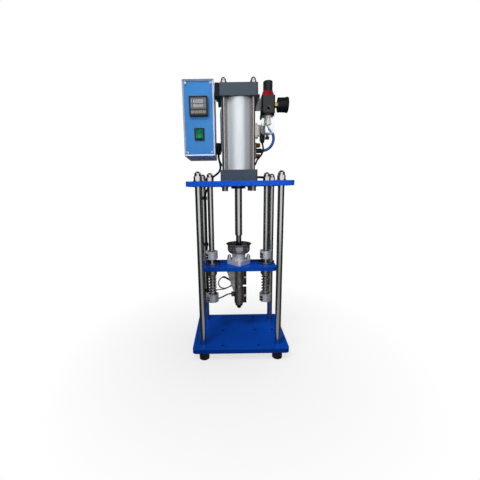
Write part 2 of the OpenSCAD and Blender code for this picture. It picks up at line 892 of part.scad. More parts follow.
module top_cap() {
    color("darkslategray") difference() {
        translate([0, 0, upper_cap_z]) cap_block();
        translate([0, 0, upper_cap_z - 1]) {
            tube_groove();
            at_corners(tie_x, tie_x) cylinder(d = tie_dia + 2 * hole_gap, h = cap_h + 2);
        }
        cap_port(upper_cap_z + cap_port_z);
    }
}

module tie_rods() {
    color("silver") translate([0, 0, tube_z - tie_grip + seat_gap]) at_corners(tie_x, tie_x) {
        cylinder(d = tie_dia, h = tie_grip - seat_gap + tube_len + cap_h - seat_gap);
        cylinder(d = tie_stud, h = tie_grip + tube_len + cap_h + tie_stud_grip);
    }
}

module rod_gland() {
    color("black") translate([0, 0, column_h - gland_drop])
        ring(gland_dia, rod_dia + 2 * running_gap, gland_drop + top_t + gland_rise);
}

module piston() {
    seal_dia = bore_dia - 2 * running_gap;
    groove_dia = bore_dia - 2 * seal_depth;
    color("gray") translate([0, 0, piston_z]) {
        difference() {
            cylinder(d = bore_dia - 4 * running_gap, h = piston_t);
            translate([0, 0, -1]) cylinder(d = rod_spigot + 2 * seat_gap, h = piston_t + 2);
            for (k = [1, 3])
                translate([0, 0, k * piston_t / 4 - seal_w / 2])
                    ring(bore_dia + 2, groove_dia, seal_w);
        }
        for (k = [1, 3])
            translate([0, 0, k * piston_t / 4 - seal_w / 2 + seat_gap])
                ring(seal_dia, groove_dia + 2 * seat_gap, seal_w - 2 * seat_gap);
        translate([0, 0, piston_t + seat_gap]) difference() {
            hexagon(piston_nut_flats, piston_nut_h);
            translate([0, 0, -1]) cylinder(d = rod_spigot + 2 * seat_gap, h = piston_nut_h + 2);
        }
    }
}

module piston_rod() {
    rod_len = piston_z - rod_end_z;
    color("silver") translate([0, 0, rod_end_z]) difference() {
        union() {
            cylinder(d1 = rod_dia - 2 * chamfer, d2 = rod_dia, h = chamfer);
            translate([0, 0, chamfer]) cylinder(d = rod_dia, h = rod_len - chamfer);
            translate([0, 0, chamfer])
                cylinder(d = rod_spigot, h = rod_len - chamfer + piston_t + piston_nut_h);
        }
        translate([0, 0, -1]) cylinder(d = plunger_spigot + 2 * seat_gap, h = plunger_spigot_len + 2);
    }
}

module plunger() {
    color("gray") translate([0, 0, rod_end_z - plunger_len]) {
        cylinder(d1 = plunger_dia - 2 * chamfer, d2 = plunger_dia, h = chamfer);
        translate([0, 0, chamfer]) cylinder(d = plunger_dia, h = plunger_len - chamfer);
        translate([0, 0, chamfer])
            cylinder(d = plunger_spigot, h = plunger_len - chamfer + plunger_spigot_len);
    }
}

// Carriage
module at_bushing_screws() {
    at_sides(guide_x)
        for (k = [0:3])
            rotate(45 + 90 * k) translate([bushing_pcd / 2, 0]) children();
}

module carriage_plate() {
    color("mediumblue") difference() {
        translate([0, 0, carriage_z]) linear_extrude(carriage_t)
            rounded_rect(carriage_w, carriage_d, carriage_r);
        translate([0, 0, carriage_z - 1]) {
            cylinder(d = barrel_dia + 4 * hole_gap, h = carriage_t + 2);
            at_sides(guide_x) cylinder(d = bushing_dia + 2 * seat_gap, h = carriage_t + 2);
        }
        translate([0, 0, carriage_top]) {
            translate([0, 0, -bushing_screw_grip]) at_bushing_screws()
                cylinder(d = bushing_screw + 2 * seat_gap, h = bushing_screw_grip + 1);
            translate([0, 0, -flange_stud_grip]) at_sides(flange_stud_x)
                cylinder(d = flange_stud + 2 * seat_gap, h = flange_stud_grip + 1);
        }
    }
}

module guide_bushings() {
    color("lightgray") difference() {
        at_sides(guide_x) {
            translate([0, 0, bushing_bottom]) cylinder(d = bushing_dia, h = bushing_len);
            translate([0, 0, carriage_top]) cylinder(d = bushing_flange, h = bushing_flange_t);
        }
        translate([0, 0, bushing_bottom - 1]) at_sides(guide_x)
            cylinder(d = guide_dia + 2 * running_gap, h = bushing_len + 2);
        translate([0, 0, carriage_top - 1]) at_bushing_screws()
            cylinder(d = bushing_screw + 2 * hole_gap, h = bushing_flange_t + 2);
        translate([0, 0, bushing_top - bushing_screw_sink]) at_bushing_screws()
            cylinder(d = bushing_screw_head + 2 * hole_gap, h = bushing_screw_sink + 1);
    }
}

module bushing_screws() {
    color("dimgray") translate([0, 0, bushing_top - bushing_screw_sink + seat_gap])
        at_bushing_screws() socket_screw(bushing_screw, bushing_screw_head, bushing_screw_head_h,
            bushing_flange_t - bushing_screw_sink + bushing_screw_grip, bushing_screw_socket);
}

module barrel() {
    color("silver") translate([0, 0, barrel_z]) ring(barrel_dia, barrel_bore, boss_top - barrel_z);
}

module barrel_flange() {
    color("lightgray") translate([0, 0, carriage_top]) difference() {
        union() {
            linear_extrude(flange_t) intersection() {
                rotate(45) square(flange_side, center = true);
                square(flange_cut, center = true);
            }
            cylinder(d = boss_dia, h = flange_t + boss_h);
        }
        translate([0, 0, -1]) {
            cylinder(d = barrel_dia + 2 * seat_gap, h = flange_t + boss_h + 2);
            at_sides(flange_stud_x) cylinder(d = flange_stud + 2 * hole_gap, h = flange_t + 2);
        }
    }
}

module flange_nuts() {
    color("gainsboro") translate([0, 0, flange_top]) at_sides(flange_stud_x) {
        ring(flange_washer, flange_stud + 2 * hole_gap, flange_washer_t - seat_gap);
        translate([0, 0, flange_washer_t])
            dome_nut(flange_nut_flats, flange_nut_hex_h, flange_nut_dome, flange_nut_h, flange_stud,
                flange_nut_hex_h);
        translate([0, 0, -flange_t - flange_stud_grip + seat_gap])
            cylinder(d = flange_stud, h = flange_stud_grip + flange_t + flange_washer_t + flange_nut_hex_h);
    }
}

// Half section of the bowl, drawn at a distance inside its outer face
function bowl_side(inset) = concat(
    [for (a = [0:10:90])
        [boss_dia / 2 + (hopper_dia / 2 - boss_dia / 2 - inset) * sin(a),
         inset + (hopper_bend - inset) * (1 - cos(a))]],
    [[hopper_dia / 2 - inset, hopper_h - hopper_flare],
     [hopper_rim / 2 - inset, hopper_h]]);

module hopper() {
    outer = bowl_side(0);
    inner = bowl_side(hopper_t);
    wall = concat([[hopper_hole / 2, 0]], outer,
        [for (i = [len(inner) - 1:-1:0]) inner[i]], [[hopper_hole / 2, hopper_t]]);
    color("lightgray") translate([0, 0, boss_top]) rotate_extrude() polygon(wall);
}

module heater_band(z, h) {
    inner = barrel_dia + 2 * seat_gap;
    translate([0, 0, z]) difference() {
        union() {
            cylinder(d = band_dia, h = h);
            translate([0, -band_slit / 2 - band_ear_t, 0])
                cube([band_dia / 2 + band_ear, band_slit + 2 * band_ear_t, h]);
        }
        translate([0, 0, -1]) cylinder(d = inner, h = h + 2);
        translate([0, -band_slit / 2, -1]) cube([band_dia, band_slit, h + 2]);
        along_y([band_dia / 2 + band_ear / 2, -band_dia, h / 2])
            cylinder(d = band_screw + 2 * seat_gap, h = 2 * band_dia);
    }
}

module band_screw_solid(z) {
    head_y = -band_slit / 2 - band_ear_t - seat_gap;
    along_y([band_dia / 2 + band_ear / 2, head_y, z]) {
        translate([0, 0, -band_screw_head_h]) cylinder(d = band_screw_head, h = band_screw_head_h);
        cylinder(d = band_screw, h = band_slit + 3 * band_ear_t);
    }
}

module terminal_block() {
    translate([-band_dia / 2 - terminal_w, -terminal_d / 2, band_lower_z + terminal_up])
        cube([terminal_w - seat_gap, terminal_d, terminal_h]);
}

// Wedge that narrows downward, drawn at a distance inside the cover's outer faces
module cover_wedge(inset) {
    h = band_upper_z + band_upper_h - cover_low_z;
    rotate([90, 0, 0]) linear_extrude(cover_d - 2 * inset, center = true)
        polygon([[0, inset], [0, h - inset], [inset - band_dia / 2 - cover_out_top, h - inset],
            [inset - band_dia / 2 - cover_out_low, inset]]);
}

module terminal_cover() {
    translate([0, 0, cover_low_z]) difference() {
        cover_wedge(0);
        cover_wedge(cover_wall);
        translate([0, 0, -1])
            cylinder(d = band_dia + 2 * seat_gap, h = band_upper_z + band_upper_h - cover_low_z + 2);
    }
}

module heater_bands() {
    color("darkgray") {
        heater_band(band_lower_z, band_lower_h);
        heater_band(band_upper_z, band_upper_h);
        band_screw_solid(band_lower_z + band_lower_h / 2);
        band_screw_solid(band_upper_z + band_upper_h / 2);
        terminal_block();
        terminal_cover();
    }
}

module nozzle() {
    tip_z = barrel_z - nozzle_h;
    color("dimgray") difference() {
        union() {
            translate([0, 0, barrel_z]) cylinder(d = barrel_bore - 2 * seat_gap, h = nozzle_spigot);
            translate([0, 0, barrel_z - nozzle_shoulder]) cylinder(d = barrel_dia, h = nozzle_shoulder);
            translate([0, 0, tip_z + nozzle_tip_r])
                cylinder(r1 = nozzle_tip_r, d2 = barrel_dia,
                    h = nozzle_h - nozzle_shoulder - nozzle_tip_r);
            translate([0, 0, tip_z + nozzle_tip_r]) sphere(nozzle_tip_r);
        }
        translate([0, 0, tip_z - 1]) cylinder(d = nozzle_hole, h = nozzle_h + nozzle_spigot + 2);
    }
}

module heater_leads() {
    color("gray") {
        swept_tube(smooth_path(sensor_route, route_steps), sensor_dia, 8);
        swept_tube(smooth_path(lead_upper_route, route_steps), upper_lead_dia, 8);
        swept_tube(smooth_path(lead_lower_route, route_steps), lower_lead_dia, 8);
    }
}

// Valve and air lines
module valve_port(x, z, turn) {
    translate([x, valve_y, z]) rotate([0, turn, 0]) translate([0, 0, -port_depth])
        cylinder(d = port_dia, h = port_depth + 1);
}

module valve_body() {
    color("silver") difference() {
        union() {
            translate([valve_left, valve_y - valve_d / 2, valve_bottom]) cube([valve_w, valve_d, valve_h]);
            translate([valve_x - coil_w + coil_over, valve_y - valve_d / 2 + pilot_inset,
                valve_bottom + valve_h])
                cube([coil_w - coil_over + pilot_over, valve_d - 2 * pilot_inset, pilot_h]);
        }
        for (z = [port_p_z, port_a_z, port_b_z])
            valve_port(valve_x, z, 90);
        for (z = [line_a_z, line_b_z])
            valve_port(valve_left, z, -90);
    }
}

module solenoid_coil() {
    color("tan") translate([valve_x + coil_over - coil_w, valve_y - valve_d / 2, coil_z])
        linear_extrude(coil_h) translate([coil_w / 2, valve_d / 2]) rounded_rect(coil_w, valve_d, coil_r);
}

module coil_plug() {
    color("dimgray") translate([valve_x + coil_over + plug_w / 2, valve_y, coil_z - plug_drop])
        linear_extrude(plug_h) rounded_rect(plug_w, valve_d - 2 * plug_inset, plug_r);
}

module silencer(z) {
    along_x([valve_x, valve_y, z]) {
        translate([0, 0, -thread_len]) cylinder(d = thread_dia, h = thread_len + 1);
        hexagon(silencer_hex, silencer_hex_h);
        cylinder(d = silencer_dia, h = silencer_hex_h + silencer_len - silencer_bevel);
        translate([0, 0, silencer_hex_h + silencer_len - silencer_bevel])
            cylinder(d1 = silencer_dia, d2 = silencer_dia - 2 * silencer_bevel, h = silencer_bevel);
    }
}

module gauge_stem() {
    along_x([reg_x + reg_side / 2, reg_y, gauge_z]) {
        translate([0, 0, -stem_thread_len]) cylinder(d = stem_thread, h = 2 * stem_thread_len);
        hexagon(stem_flats, stem_len);
        cylinder(d = stem_thread, h = stem_len + gauge_back - seat_gap);
    }
}

module brass_fittings() {
    color("goldenrod") {
        silencer(port_a_z);
        silencer(port_b_z);
        gauge_stem();
    }
}

module straight_fitting(len) {
    translate([0, 0, -thread_len]) cylinder(d = thread_dia, h = thread_len + 1);
    cylinder(d = fitting_dia, h = len);
}

module elbow_fitting(turn) {
    straight_fitting(elbow_out);
    translate([0, 0, elbow_out]) {
        sphere(d = fitting_dia);
        rotate(turn) rotate([0, 90, 0]) cylinder(d = elbow_dia, h = elbow_len);
    }
}

module air_fittings() {
    color("black") {
        along_x([valve_x, valve_y, port_p_z]) straight_fitting(fitting_len);
        for (z = [line_a_z, line_b_z])
            translate([valve_left, valve_y, z]) rotate([0, -90, 0]) straight_fitting(fitting_len);
        along_y([0, cap_w / 2, lower_cap_z + cap_port_z]) elbow_fitting(0);
        along_y([0, cap_w / 2, upper_cap_z + cap_port_z]) elbow_fitting(180);
        along_y([reg_x, reg_y + reg_side / 2, inlet_z]) elbow_fitting(90);
    }
}

module supply_hose() {
    color("blue") swept_tube(smooth_path(supply_route, route_steps), hose_dia, 12);
}

module air_lines() {
    color("black") {
        swept_tube(smooth_path(line_a_route, route_steps), air_line, 10);
        swept_tube(smooth_path(line_b_route, route_steps), air_line, 10);
    }
}

module coil_cable() {
    color("black") swept_tube(smooth_path(coil_cable_route, route_steps), coil_cable_dia, 10);
}

module heater_cable() {
    color("black") swept_tube(smooth_path(heater_cable_route, route_steps), heater_cable_dia, 10);
}

module side_brackets() {
    valve_back = valve_y + valve_d / 2;
    color("gray") {
        translate([cap_w / 2, -flange_front, bar_z])
            cube([bracket_flange_t, flange_front + reg_y + bracket_flange / 2, bar_h]);
        translate([cap_w / 2, reg_y - bracket_web / 2, bracket_z])
            cube([reg_gap, bracket_web, bracket_h]);
        translate([valve_left + valve_bracket_inset, valve_back, top_z])
            cube([valve_w - 2 * valve_bracket_inset, bracket_t, valve_z + valve_h - valve_bracket_inset]);
        translate([valve_left + valve_bracket_inset, valve_back + bracket_t - valve_bracket_foot, top_z])
            cube([valve_w - 2 * valve_bracket_inset, valve_bracket_foot, bracket_t]);
    }
}

// Filter regulator and gauge
module reg_port(turn, z, dia, depth) {
    translate([reg_x, reg_y, z]) rotate(turn) rotate([0, 90, 0])
        translate([0, 0, reg_side / 2 - depth]) cylinder(d = dia, h = depth + 1);
}

module regulator_body() {
    color("black") difference() {
        translate([reg_x, reg_y, reg_z]) linear_extrude(reg_h) rounded_rect(reg_side, reg_side, reg_r);
        reg_port(-90, inlet_z, port_dia, port_depth);
        reg_port(90, inlet_z, port_dia, port_depth);
        reg_port(0, gauge_z, stem_thread + 2 * seat_gap, stem_thread_len + 1);
        translate([reg_x, reg_y, reg_z - 1])
            cylinder(d = bowl_neck + 2 * seat_gap, h = bowl_neck_h + 1 + seat_gap);
        translate([reg_x, reg_y, reg_top - spindle_sink - rest_gap])
            cylinder(d = spindle_dia + 2 * running_gap, h = spindle_sink + rest_gap + 1);
    }
}

module lock_ring() {
    color("red") translate([reg_x, reg_y, reg_top]) difference() {
        cylinder(d1 = ring_low, d2 = ring_high, h = ring_h);
        translate([0, 0, -1]) cylinder(d = ring_hole, h = ring_h + 2);
    }
}

module adjusting_spindle() {
    color("goldenrod") translate([reg_x, reg_y, reg_top - spindle_sink])
        cylinder(d = spindle_dia, h = spindle_sink + ring_h + knob_h - knob_top_wall - rest_gap);
}

module regulator_knob() {
    color("black") translate([reg_x, reg_y, knob_z]) difference() {
        union() {
            cylinder(d = knob_dia, h = knob_h - chamfer);
            translate([0, 0, knob_h - chamfer])
                cylinder(d1 = knob_dia, d2 = knob_dia - 2 * chamfer, h = chamfer);
        }
        translate([0, 0, -1])
            cylinder(d = spindle_dia + 2 * running_gap, h = knob_h - knob_top_wall + 1);
        for (k = [0:knob_grips - 1])
            rotate(360 * k / knob_grips) translate([knob_dia / 2 + knob_grip_r / 2, 0, -1])
                cylinder(r = knob_grip_r, h = knob_h + 2);
    }
}

// Half section of the filter bowl, drawn at a distance inside its outer face
function cup_side(inset) = [for (a = [0:15:90])
    [bowl_dia / 2 - bowl_round + (bowl_round - inset) * sin(a),
     bowl_round - (bowl_round - inset) * cos(a)]];

module filter_bowl() {
    outer = cup_side(0);
    inner = cup_side(bowl_wall);
    neck = bowl_neck / 2 - bowl_wall;
    wall = concat([[drain_hole / 2, 0]], outer,
        [[bowl_dia / 2, bowl_h], [bowl_neck / 2, bowl_h], [bowl_neck / 2, bowl_h + bowl_neck_h],
         [neck, bowl_h + bowl_neck_h], [neck, bowl_h - bowl_wall],
         [bowl_dia / 2 - bowl_wall, bowl_h - bowl_wall]],
        [for (i = [len(inner) - 1:-1:0]) inner[i]], [[drain_hole / 2, bowl_wall]]);
    color("lightblue") translate([reg_x, reg_y, reg_z - bowl_h]) rotate_extrude() polygon(wall);
}

module filter_element() {
    element_z = reg_z + bowl_neck_h - element_h;
    color("wheat") translate([reg_x, reg_y, element_z]) {
        cylinder(d = element_dia, h = element_h);
        translate([0, 0, -element_base_h]) cylinder(d = element_base, h = element_base_h + 1);
    }
}

module drain_cock() {
    bowl_floor = reg_z - bowl_h;
    color("black") translate([reg_x, reg_y, bowl_floor - drain_gap]) {
        translate([0, 0, -drain_cap_h]) cylinder(d = drain_cap, h = drain_cap_h);
        cylinder(d = drain_stem, h = drain_gap + bowl_wall + rest_gap);
        translate([0, 0, drain_gap + bowl_wall + rest_gap]) cylinder(d = drain_head, h = drain_head_h);
    }
}

module gauge_case() {
    recess_x = gauge_depth - gauge_recess;
    color("black") along_x([gauge_x, reg_y, gauge_z]) difference() {
        union() {
            cylinder(d = gauge_dia, h = gauge_depth);
            translate([0, 0, gauge_depth - gauge_bezel_len])
                cylinder(d = gauge_dia + gauge_bezel_w, h = gauge_bezel_len);
        }
        translate([0, 0, -1]) cylinder(d = stem_thread + 2 * seat_gap, h = gauge_back + 1);
        translate([0, 0, recess_x]) cylinder(d = gauge_recess_dia, h = gauge_recess + 1);
        translate([0, 0, recess_x - needle_sink - rest_gap])
            cylinder(d = needle_pin + 2 * running_gap, h = needle_sink + rest_gap + 1);
    }
}

module gauge_needle() {
    floor_x = gauge_x + gauge_depth - gauge_recess;
    color("black") along_x([floor_x, reg_y, gauge_z]) {
        translate([0, 0, -needle_sink]) cylinder(d = needle_pin, h = needle_sink + needle_lift + 1);
        translate([0, 0, needle_lift]) cylinder(d = needle_hub, h = needle_t + 1);
        translate([0, 0, needle_lift]) linear_extrude(needle_t) rotate(-45)
            polygon([[-needle_tail, -needle_w / 2], [needle_tip, -needle_w / 6],
                [needle_tip, needle_w / 6], [-needle_tail, needle_w / 2]]);
    }
}

// Control box
module control_box() {
    lug_y = panel_y + panel_t;
    color("whitesmoke") difference() {
        translate([box_x0, box_y, box_bottom]) cube([box_w, box_d, box_h]);
        difference() {
            translate([box_x0 + box_wall, panel_y + panel_t, box_bottom + box_wall])
                cube([box_w - 2 * box_wall, box_d - panel_inset - panel_t - box_wall, box_h - 2 * box_wall]);
            box_lugs(lug_y);
        }
        translate([box_x0 + box_rim, box_y - 1, box_bottom + box_rim])
            cube([box_w - 2 * box_rim, panel_inset + panel_t + 1, box_h - 2 * box_rim]);
        at_panel_screws(lug_y - 1) cylinder(d = panel_screw + 2 * seat_gap, h = panel_screw_len);
        for (side = [-1, 1], k = [0 : vent_rows - 1])
            translate([box_xm + side * vent_x - vent_w / 2, box_y + vent_y + k * vent_step, box_bottom - 1])
                cube([vent_w, vent_d, box_wall + 2]);
    }
}

module box_lugs(y) {
    for (sx = [0, 1], sz = [0, 1])
        translate([box_x0 + sx * (box_w - lug_side - box_rim + box_wall),
            y, box_bottom + sz * (box_h - lug_side - box_rim + box_wall)])
            cube([lug_side + box_rim - box_wall, lug_d, lug_side + box_rim - box_wall]);
}

module at_panel_screws(y) {
    for (sx = [-1, 1], sz = [-1, 1])
        along_y([box_xm + sx * (panel_w / 2 - panel_screw_inset), y,
            box_bottom + box_h / 2 + sz * (panel_h / 2 - panel_screw_inset)]) children();
}

module front_panel() {
    color("royalblue") difference() {
        translate([box_xm - panel_w / 2, panel_y, box_bottom + box_h / 2 - panel_h / 2])
            cube([panel_w, panel_t, panel_h]);
        at_panel_screws(panel_y - 1) cylinder(d = panel_screw + 2 * hole_gap, h = panel_t + 2);
        panel_opening(controller_z, case_side + 2 * case_gap, case_side + 2 * case_gap);
        panel_opening(switch_z, switch_body_w + 2 * case_gap, switch_body_h + 2 * case_gap);
    }
}

module panel_opening(z, w, h) {
    translate([box_xm - w / 2, panel_y - 1, z - h / 2]) cube([w, panel_t + 2, h]);
}

module panel_screws() {
    color("silver") at_panel_screws(panel_y - seat_gap) {
        translate([0, 0, -panel_screw_head_h]) cylinder(d = panel_screw_head, h = panel_screw_head_h);
        cylinder(d = panel_screw, h = panel_screw_len);
    }
}

module box_bracket() {
    color("black") {
        translate([-cap_w / 2 - bracket_flange_t, -bar_front, bar_z])
            cube([bracket_flange_t, bar_front + bracket_block_y + bracket_block_d, bar_h]);
        translate([-cap_w / 2 - bar_lip, -bar_front, bar_z]) cube([bar_lip, bar_lip_d, bar_h]);
        translate([box_x1, bracket_block_y, bar_z + bar_h - bracket_block_h])
            cube([box_gap, bracket_block_d, bracket_block_h]);
    }
}

module at_buttons() {
    for (k = [0:3])
        at_button(k) children();
}

module at_button(k) {
    translate([box_xm + (k - 1.5) * button_pitch, face_y, controller_z - button_drop]) children();
}

module centred_block(w, d, h) {
    translate([-w / 2, 0, -h / 2]) cube([w, d, h]);
}

module controller_case() {
    inner = bezel_side - 2 * bezel_rim;
    slot_d = button_in + button_travel + rest_gap;
    color("black") difference() {
        translate([box_xm, panel_y - bezel_t, controller_z]) {
            centred_block(bezel_side, bezel_t, bezel_side);
            centred_block(case_side, bezel_t + case_d, case_side);
        }
        translate([box_xm, panel_y - bezel_t - 1, controller_z])
            centred_block(inner, bezel_floor + 1, inner);
        at_buttons() translate([0, -1, 0])
            centred_block(button_w + 2 * button_gap, slot_d + 1, button_h + 2 * button_gap);
    }
}

module button(k) {
    color("gainsboro") at_button(k) translate([0, -button_out, 0])
        centred_block(button_w, button_out + button_in, button_h);
}

module button_1() {
    button(0);
}

module button_2() {
    button(1);
}

module button_3() {
    button(2);
}

module button_4() {
    button(3);
}

module switch_frame() {
    color("black") translate([box_xm, panel_y, switch_z]) difference() {
        union() {
            translate([0, -switch_bezel, 0]) centred_block(switch_w, switch_bezel, switch_h);
            translate([0, -1, 0]) centred_block(switch_body_w, switch_body_d + 1, switch_body_h);
        }
        translate([0, -switch_bezel - 1, 0])
            centred_block(rocker_w + 2 * rest_gap, rocker_room, rocker_open_h);
        along_x([-switch_w, pivot_y - panel_y, 0])
            cylinder(d = rocker_pin + 2 * running_gap, h = 2 * switch_w);
    }
}

module switch_rocker() {
    side = [[-rocker_high, rocker_half], [-rocker_mid, 0], [-rocker_low, -rocker_half],
        [rocker_back, -rocker_back_half], [rocker_back, rocker_back_half]];
    color("limegreen") translate([box_xm, pivot_y, switch_z]) {
        translate([-rocker_w / 2, 0, 0]) rotate([90, 0, 90]) linear_extrude(rocker_w) polygon(side);
        along_x([-rocker_w / 2 - rocker_pin_out, 0, 0])
            cylinder(d = rocker_pin, h = rocker_w + 2 * rocker_pin_out);
    }
}

module elbow_gland(y) {
    translate([box_x1, y, box_bottom + gland_up]) {
        along_x([0, 0, 0]) cylinder(d = gland_wall, h = gland_reach);
        translate([gland_reach, 0, gland_body / 2 - gland_len]) cylinder(d = gland_body, h = gland_len);
    }
}

module cable_glands() {
    color("black") {
        elbow_gland(gland_y1);
        elbow_gland(gland_y2);
        along_y([box_xm, box_back, box_bottom + inlet_gland_up]) {
            hexagon(inlet_gland_nut, inlet_gland_nut_h);
            cylinder(d = inlet_gland, h = inlet_gland_len);
        }
    }
}

module cable_clip(z) {
    column_at = [-column_x / 2, column_y / 2];
    translate([0, 0, z - clip_h / 2]) difference() {
        union() {
            translate(column_at) cylinder(d = column_dia + 2 * clip_wall, h = clip_h);
            translate(cable_at) cylinder(d = heater_cable_dia + 2 * clip_wall, h = clip_h);
        }
        translate([0, 0, -1]) {
            translate(column_at) cylinder(d = column_dia + 2 * seat_gap, h = clip_h + 2);
            translate(cable_at) cylinder(d = heater_cable_dia + 2 * seat_gap, h = clip_h + 2);
        }
    }
}

module cable_clips() {
    color("black")
        for (z = clip_z)
            cable_clip(z);
}

base_plate();
rubber_feet();
frame_screws();
frame_columns();
top_plate();
dome_nuts();
guide_rods();
stop_collars();
collar_screws();
return_springs();
bottom_cap();
cylinder_tube();
top_cap();
tie_rods();
rod_gland();
valve_body();
solenoid_coil();
coil_plug();
brass_fittings();
air_fittings();
supply_hose();
air_lines();
coil_cable();
side_brackets();
regulator_body();
lock_ring();
filter_bowl();
filter_element();
gauge_case();
control_box();
front_panel();
panel_screws();
box_bracket();
controller_case();
switch_frame();
cable_glands();
heater_cable();
cable_clips();
piston();
piston_rod();
plunger();
carriage_plate();
guide_bushings();
bushing_screws();
barrel();
barrel_flange();
flange_nuts();
hopper();
heater_bands();
nozzle();
heater_leads();
adjusting_spindle();
regulator_knob();
drain_cock();
gauge_needle();
switch_rocker();
button_1();
button_2();
button_3();
button_4();
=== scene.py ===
"""Looks of a benchtop plastic injection machine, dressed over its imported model, in metres."""
import math

import bmesh
import bpy
from mathutils import Matrix, Vector


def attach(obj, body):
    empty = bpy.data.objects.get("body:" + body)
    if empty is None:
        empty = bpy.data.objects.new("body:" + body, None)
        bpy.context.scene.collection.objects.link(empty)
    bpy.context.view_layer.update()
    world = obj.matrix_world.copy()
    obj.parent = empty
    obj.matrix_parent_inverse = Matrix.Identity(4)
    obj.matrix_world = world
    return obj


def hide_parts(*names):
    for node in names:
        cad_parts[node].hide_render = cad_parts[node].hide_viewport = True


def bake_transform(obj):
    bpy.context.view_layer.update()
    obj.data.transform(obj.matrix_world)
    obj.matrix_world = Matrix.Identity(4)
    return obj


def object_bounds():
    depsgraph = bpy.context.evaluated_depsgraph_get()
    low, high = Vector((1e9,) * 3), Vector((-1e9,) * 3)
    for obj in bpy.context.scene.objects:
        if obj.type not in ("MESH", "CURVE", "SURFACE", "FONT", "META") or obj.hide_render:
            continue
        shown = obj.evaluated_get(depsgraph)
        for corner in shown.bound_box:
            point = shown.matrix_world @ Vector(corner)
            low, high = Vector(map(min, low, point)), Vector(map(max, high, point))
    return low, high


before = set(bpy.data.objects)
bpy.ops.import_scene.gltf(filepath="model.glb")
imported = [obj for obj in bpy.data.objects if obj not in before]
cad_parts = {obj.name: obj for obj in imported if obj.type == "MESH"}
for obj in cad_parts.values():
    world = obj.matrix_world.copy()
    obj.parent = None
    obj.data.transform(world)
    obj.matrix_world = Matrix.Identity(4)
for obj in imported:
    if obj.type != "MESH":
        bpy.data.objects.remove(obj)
cad_low, cad_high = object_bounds()
scene = bpy.context.scene
scene.view_settings.view_transform = "Standard"
MM = 0.001


# Camera

EYE = Vector((-32.6, -729.8, 416.4)) * MM
LOOK_DOWN = math.radians(10.87)
PICTURE_ROLL = math.radians(0.85)
SENSOR_WIDTH = 36
FOCAL_LENGTH = 19.75
SIDE_SHIFT = 0.0268


def set_camera():
    """The photograph's own viewpoint, a little left of the machine and looking down on it."""
    pitch, roll = LOOK_DOWN, PICTURE_ROLL
    ahead = Vector((0, math.cos(pitch), -math.sin(pitch)))
    right = Vector((1, 0, 0))
    down = ahead.cross(right)
    across = right * math.cos(roll) + down * math.sin(roll)
    upward = right * math.sin(roll) - down * math.cos(roll)
    lens = bpy.data.cameras.new("photo_view")
    lens.sensor_width = SENSOR_WIDTH
    lens.lens = FOCAL_LENGTH
    lens.shift_x = SIDE_SHIFT
    camera = bpy.data.objects.new("photo_view", lens)
    scene.collection.objects.link(camera)
    turn = Matrix((across, upward, -ahead)).transposed().to_4x4()
    camera.matrix_world = Matrix.Translation(EYE) @ turn
    scene.camera = camera


set_camera()


# Shader nodes

def tint(code):
    """A colour given as six hex digits, in the linear values that shaders take."""
    parts = [int(code[i:i + 2], 16) / 255 for i in (0, 2, 4)]
    return tuple(p / 12.92 if p <= 0.04045 else ((p + 0.055) / 1.055) ** 2.4 for p in parts) + (1.0,)


class Value:
    """A shader socket. A sum on it adds the Math node that works it out."""

    def __init__(self, nodes, socket):
        self.nodes = nodes
        self.socket = socket

    def math(self, operation, *terms):
        return self.nodes.node("Math", {"operation": operation}, dict(enumerate(terms)))

    def __add__(self, other):
        return self.math("ADD", self, other)

    __radd__ = __add__

    def __sub__(self, other):
        return self.math("SUBTRACT", self, other)

    def __rsub__(self, other):
        return self.math("SUBTRACT", other, self)

    def __mul__(self, other):
        return self.math("MULTIPLY", self, other)

    __rmul__ = __mul__

    def __gt__(self, other):
        return self.math("GREATER_THAN", self, other)

    def __lt__(self, other):
        return self.math("LESS_THAN", self, other)


class Nodes:
    """A node tree, and the one way that nodes are put into it."""

    def __init__(self, tree):
        self.tree = tree

    def node(self, kind, settings=None, sockets=None, out=0):
        made = self.tree.nodes.new("ShaderNode" + kind)
        for name, setting in (settings or {}).items():
            setattr(made, name, setting)
        for name, value in (sockets or {}).items():
            self.plug(made.inputs[name], value)
        return Value(self, made.outputs[out])

    def plug(self, socket, value):
        if isinstance(value, Value):
            self.tree.links.new(value.socket, socket)
        else:
            socket.default_value = value


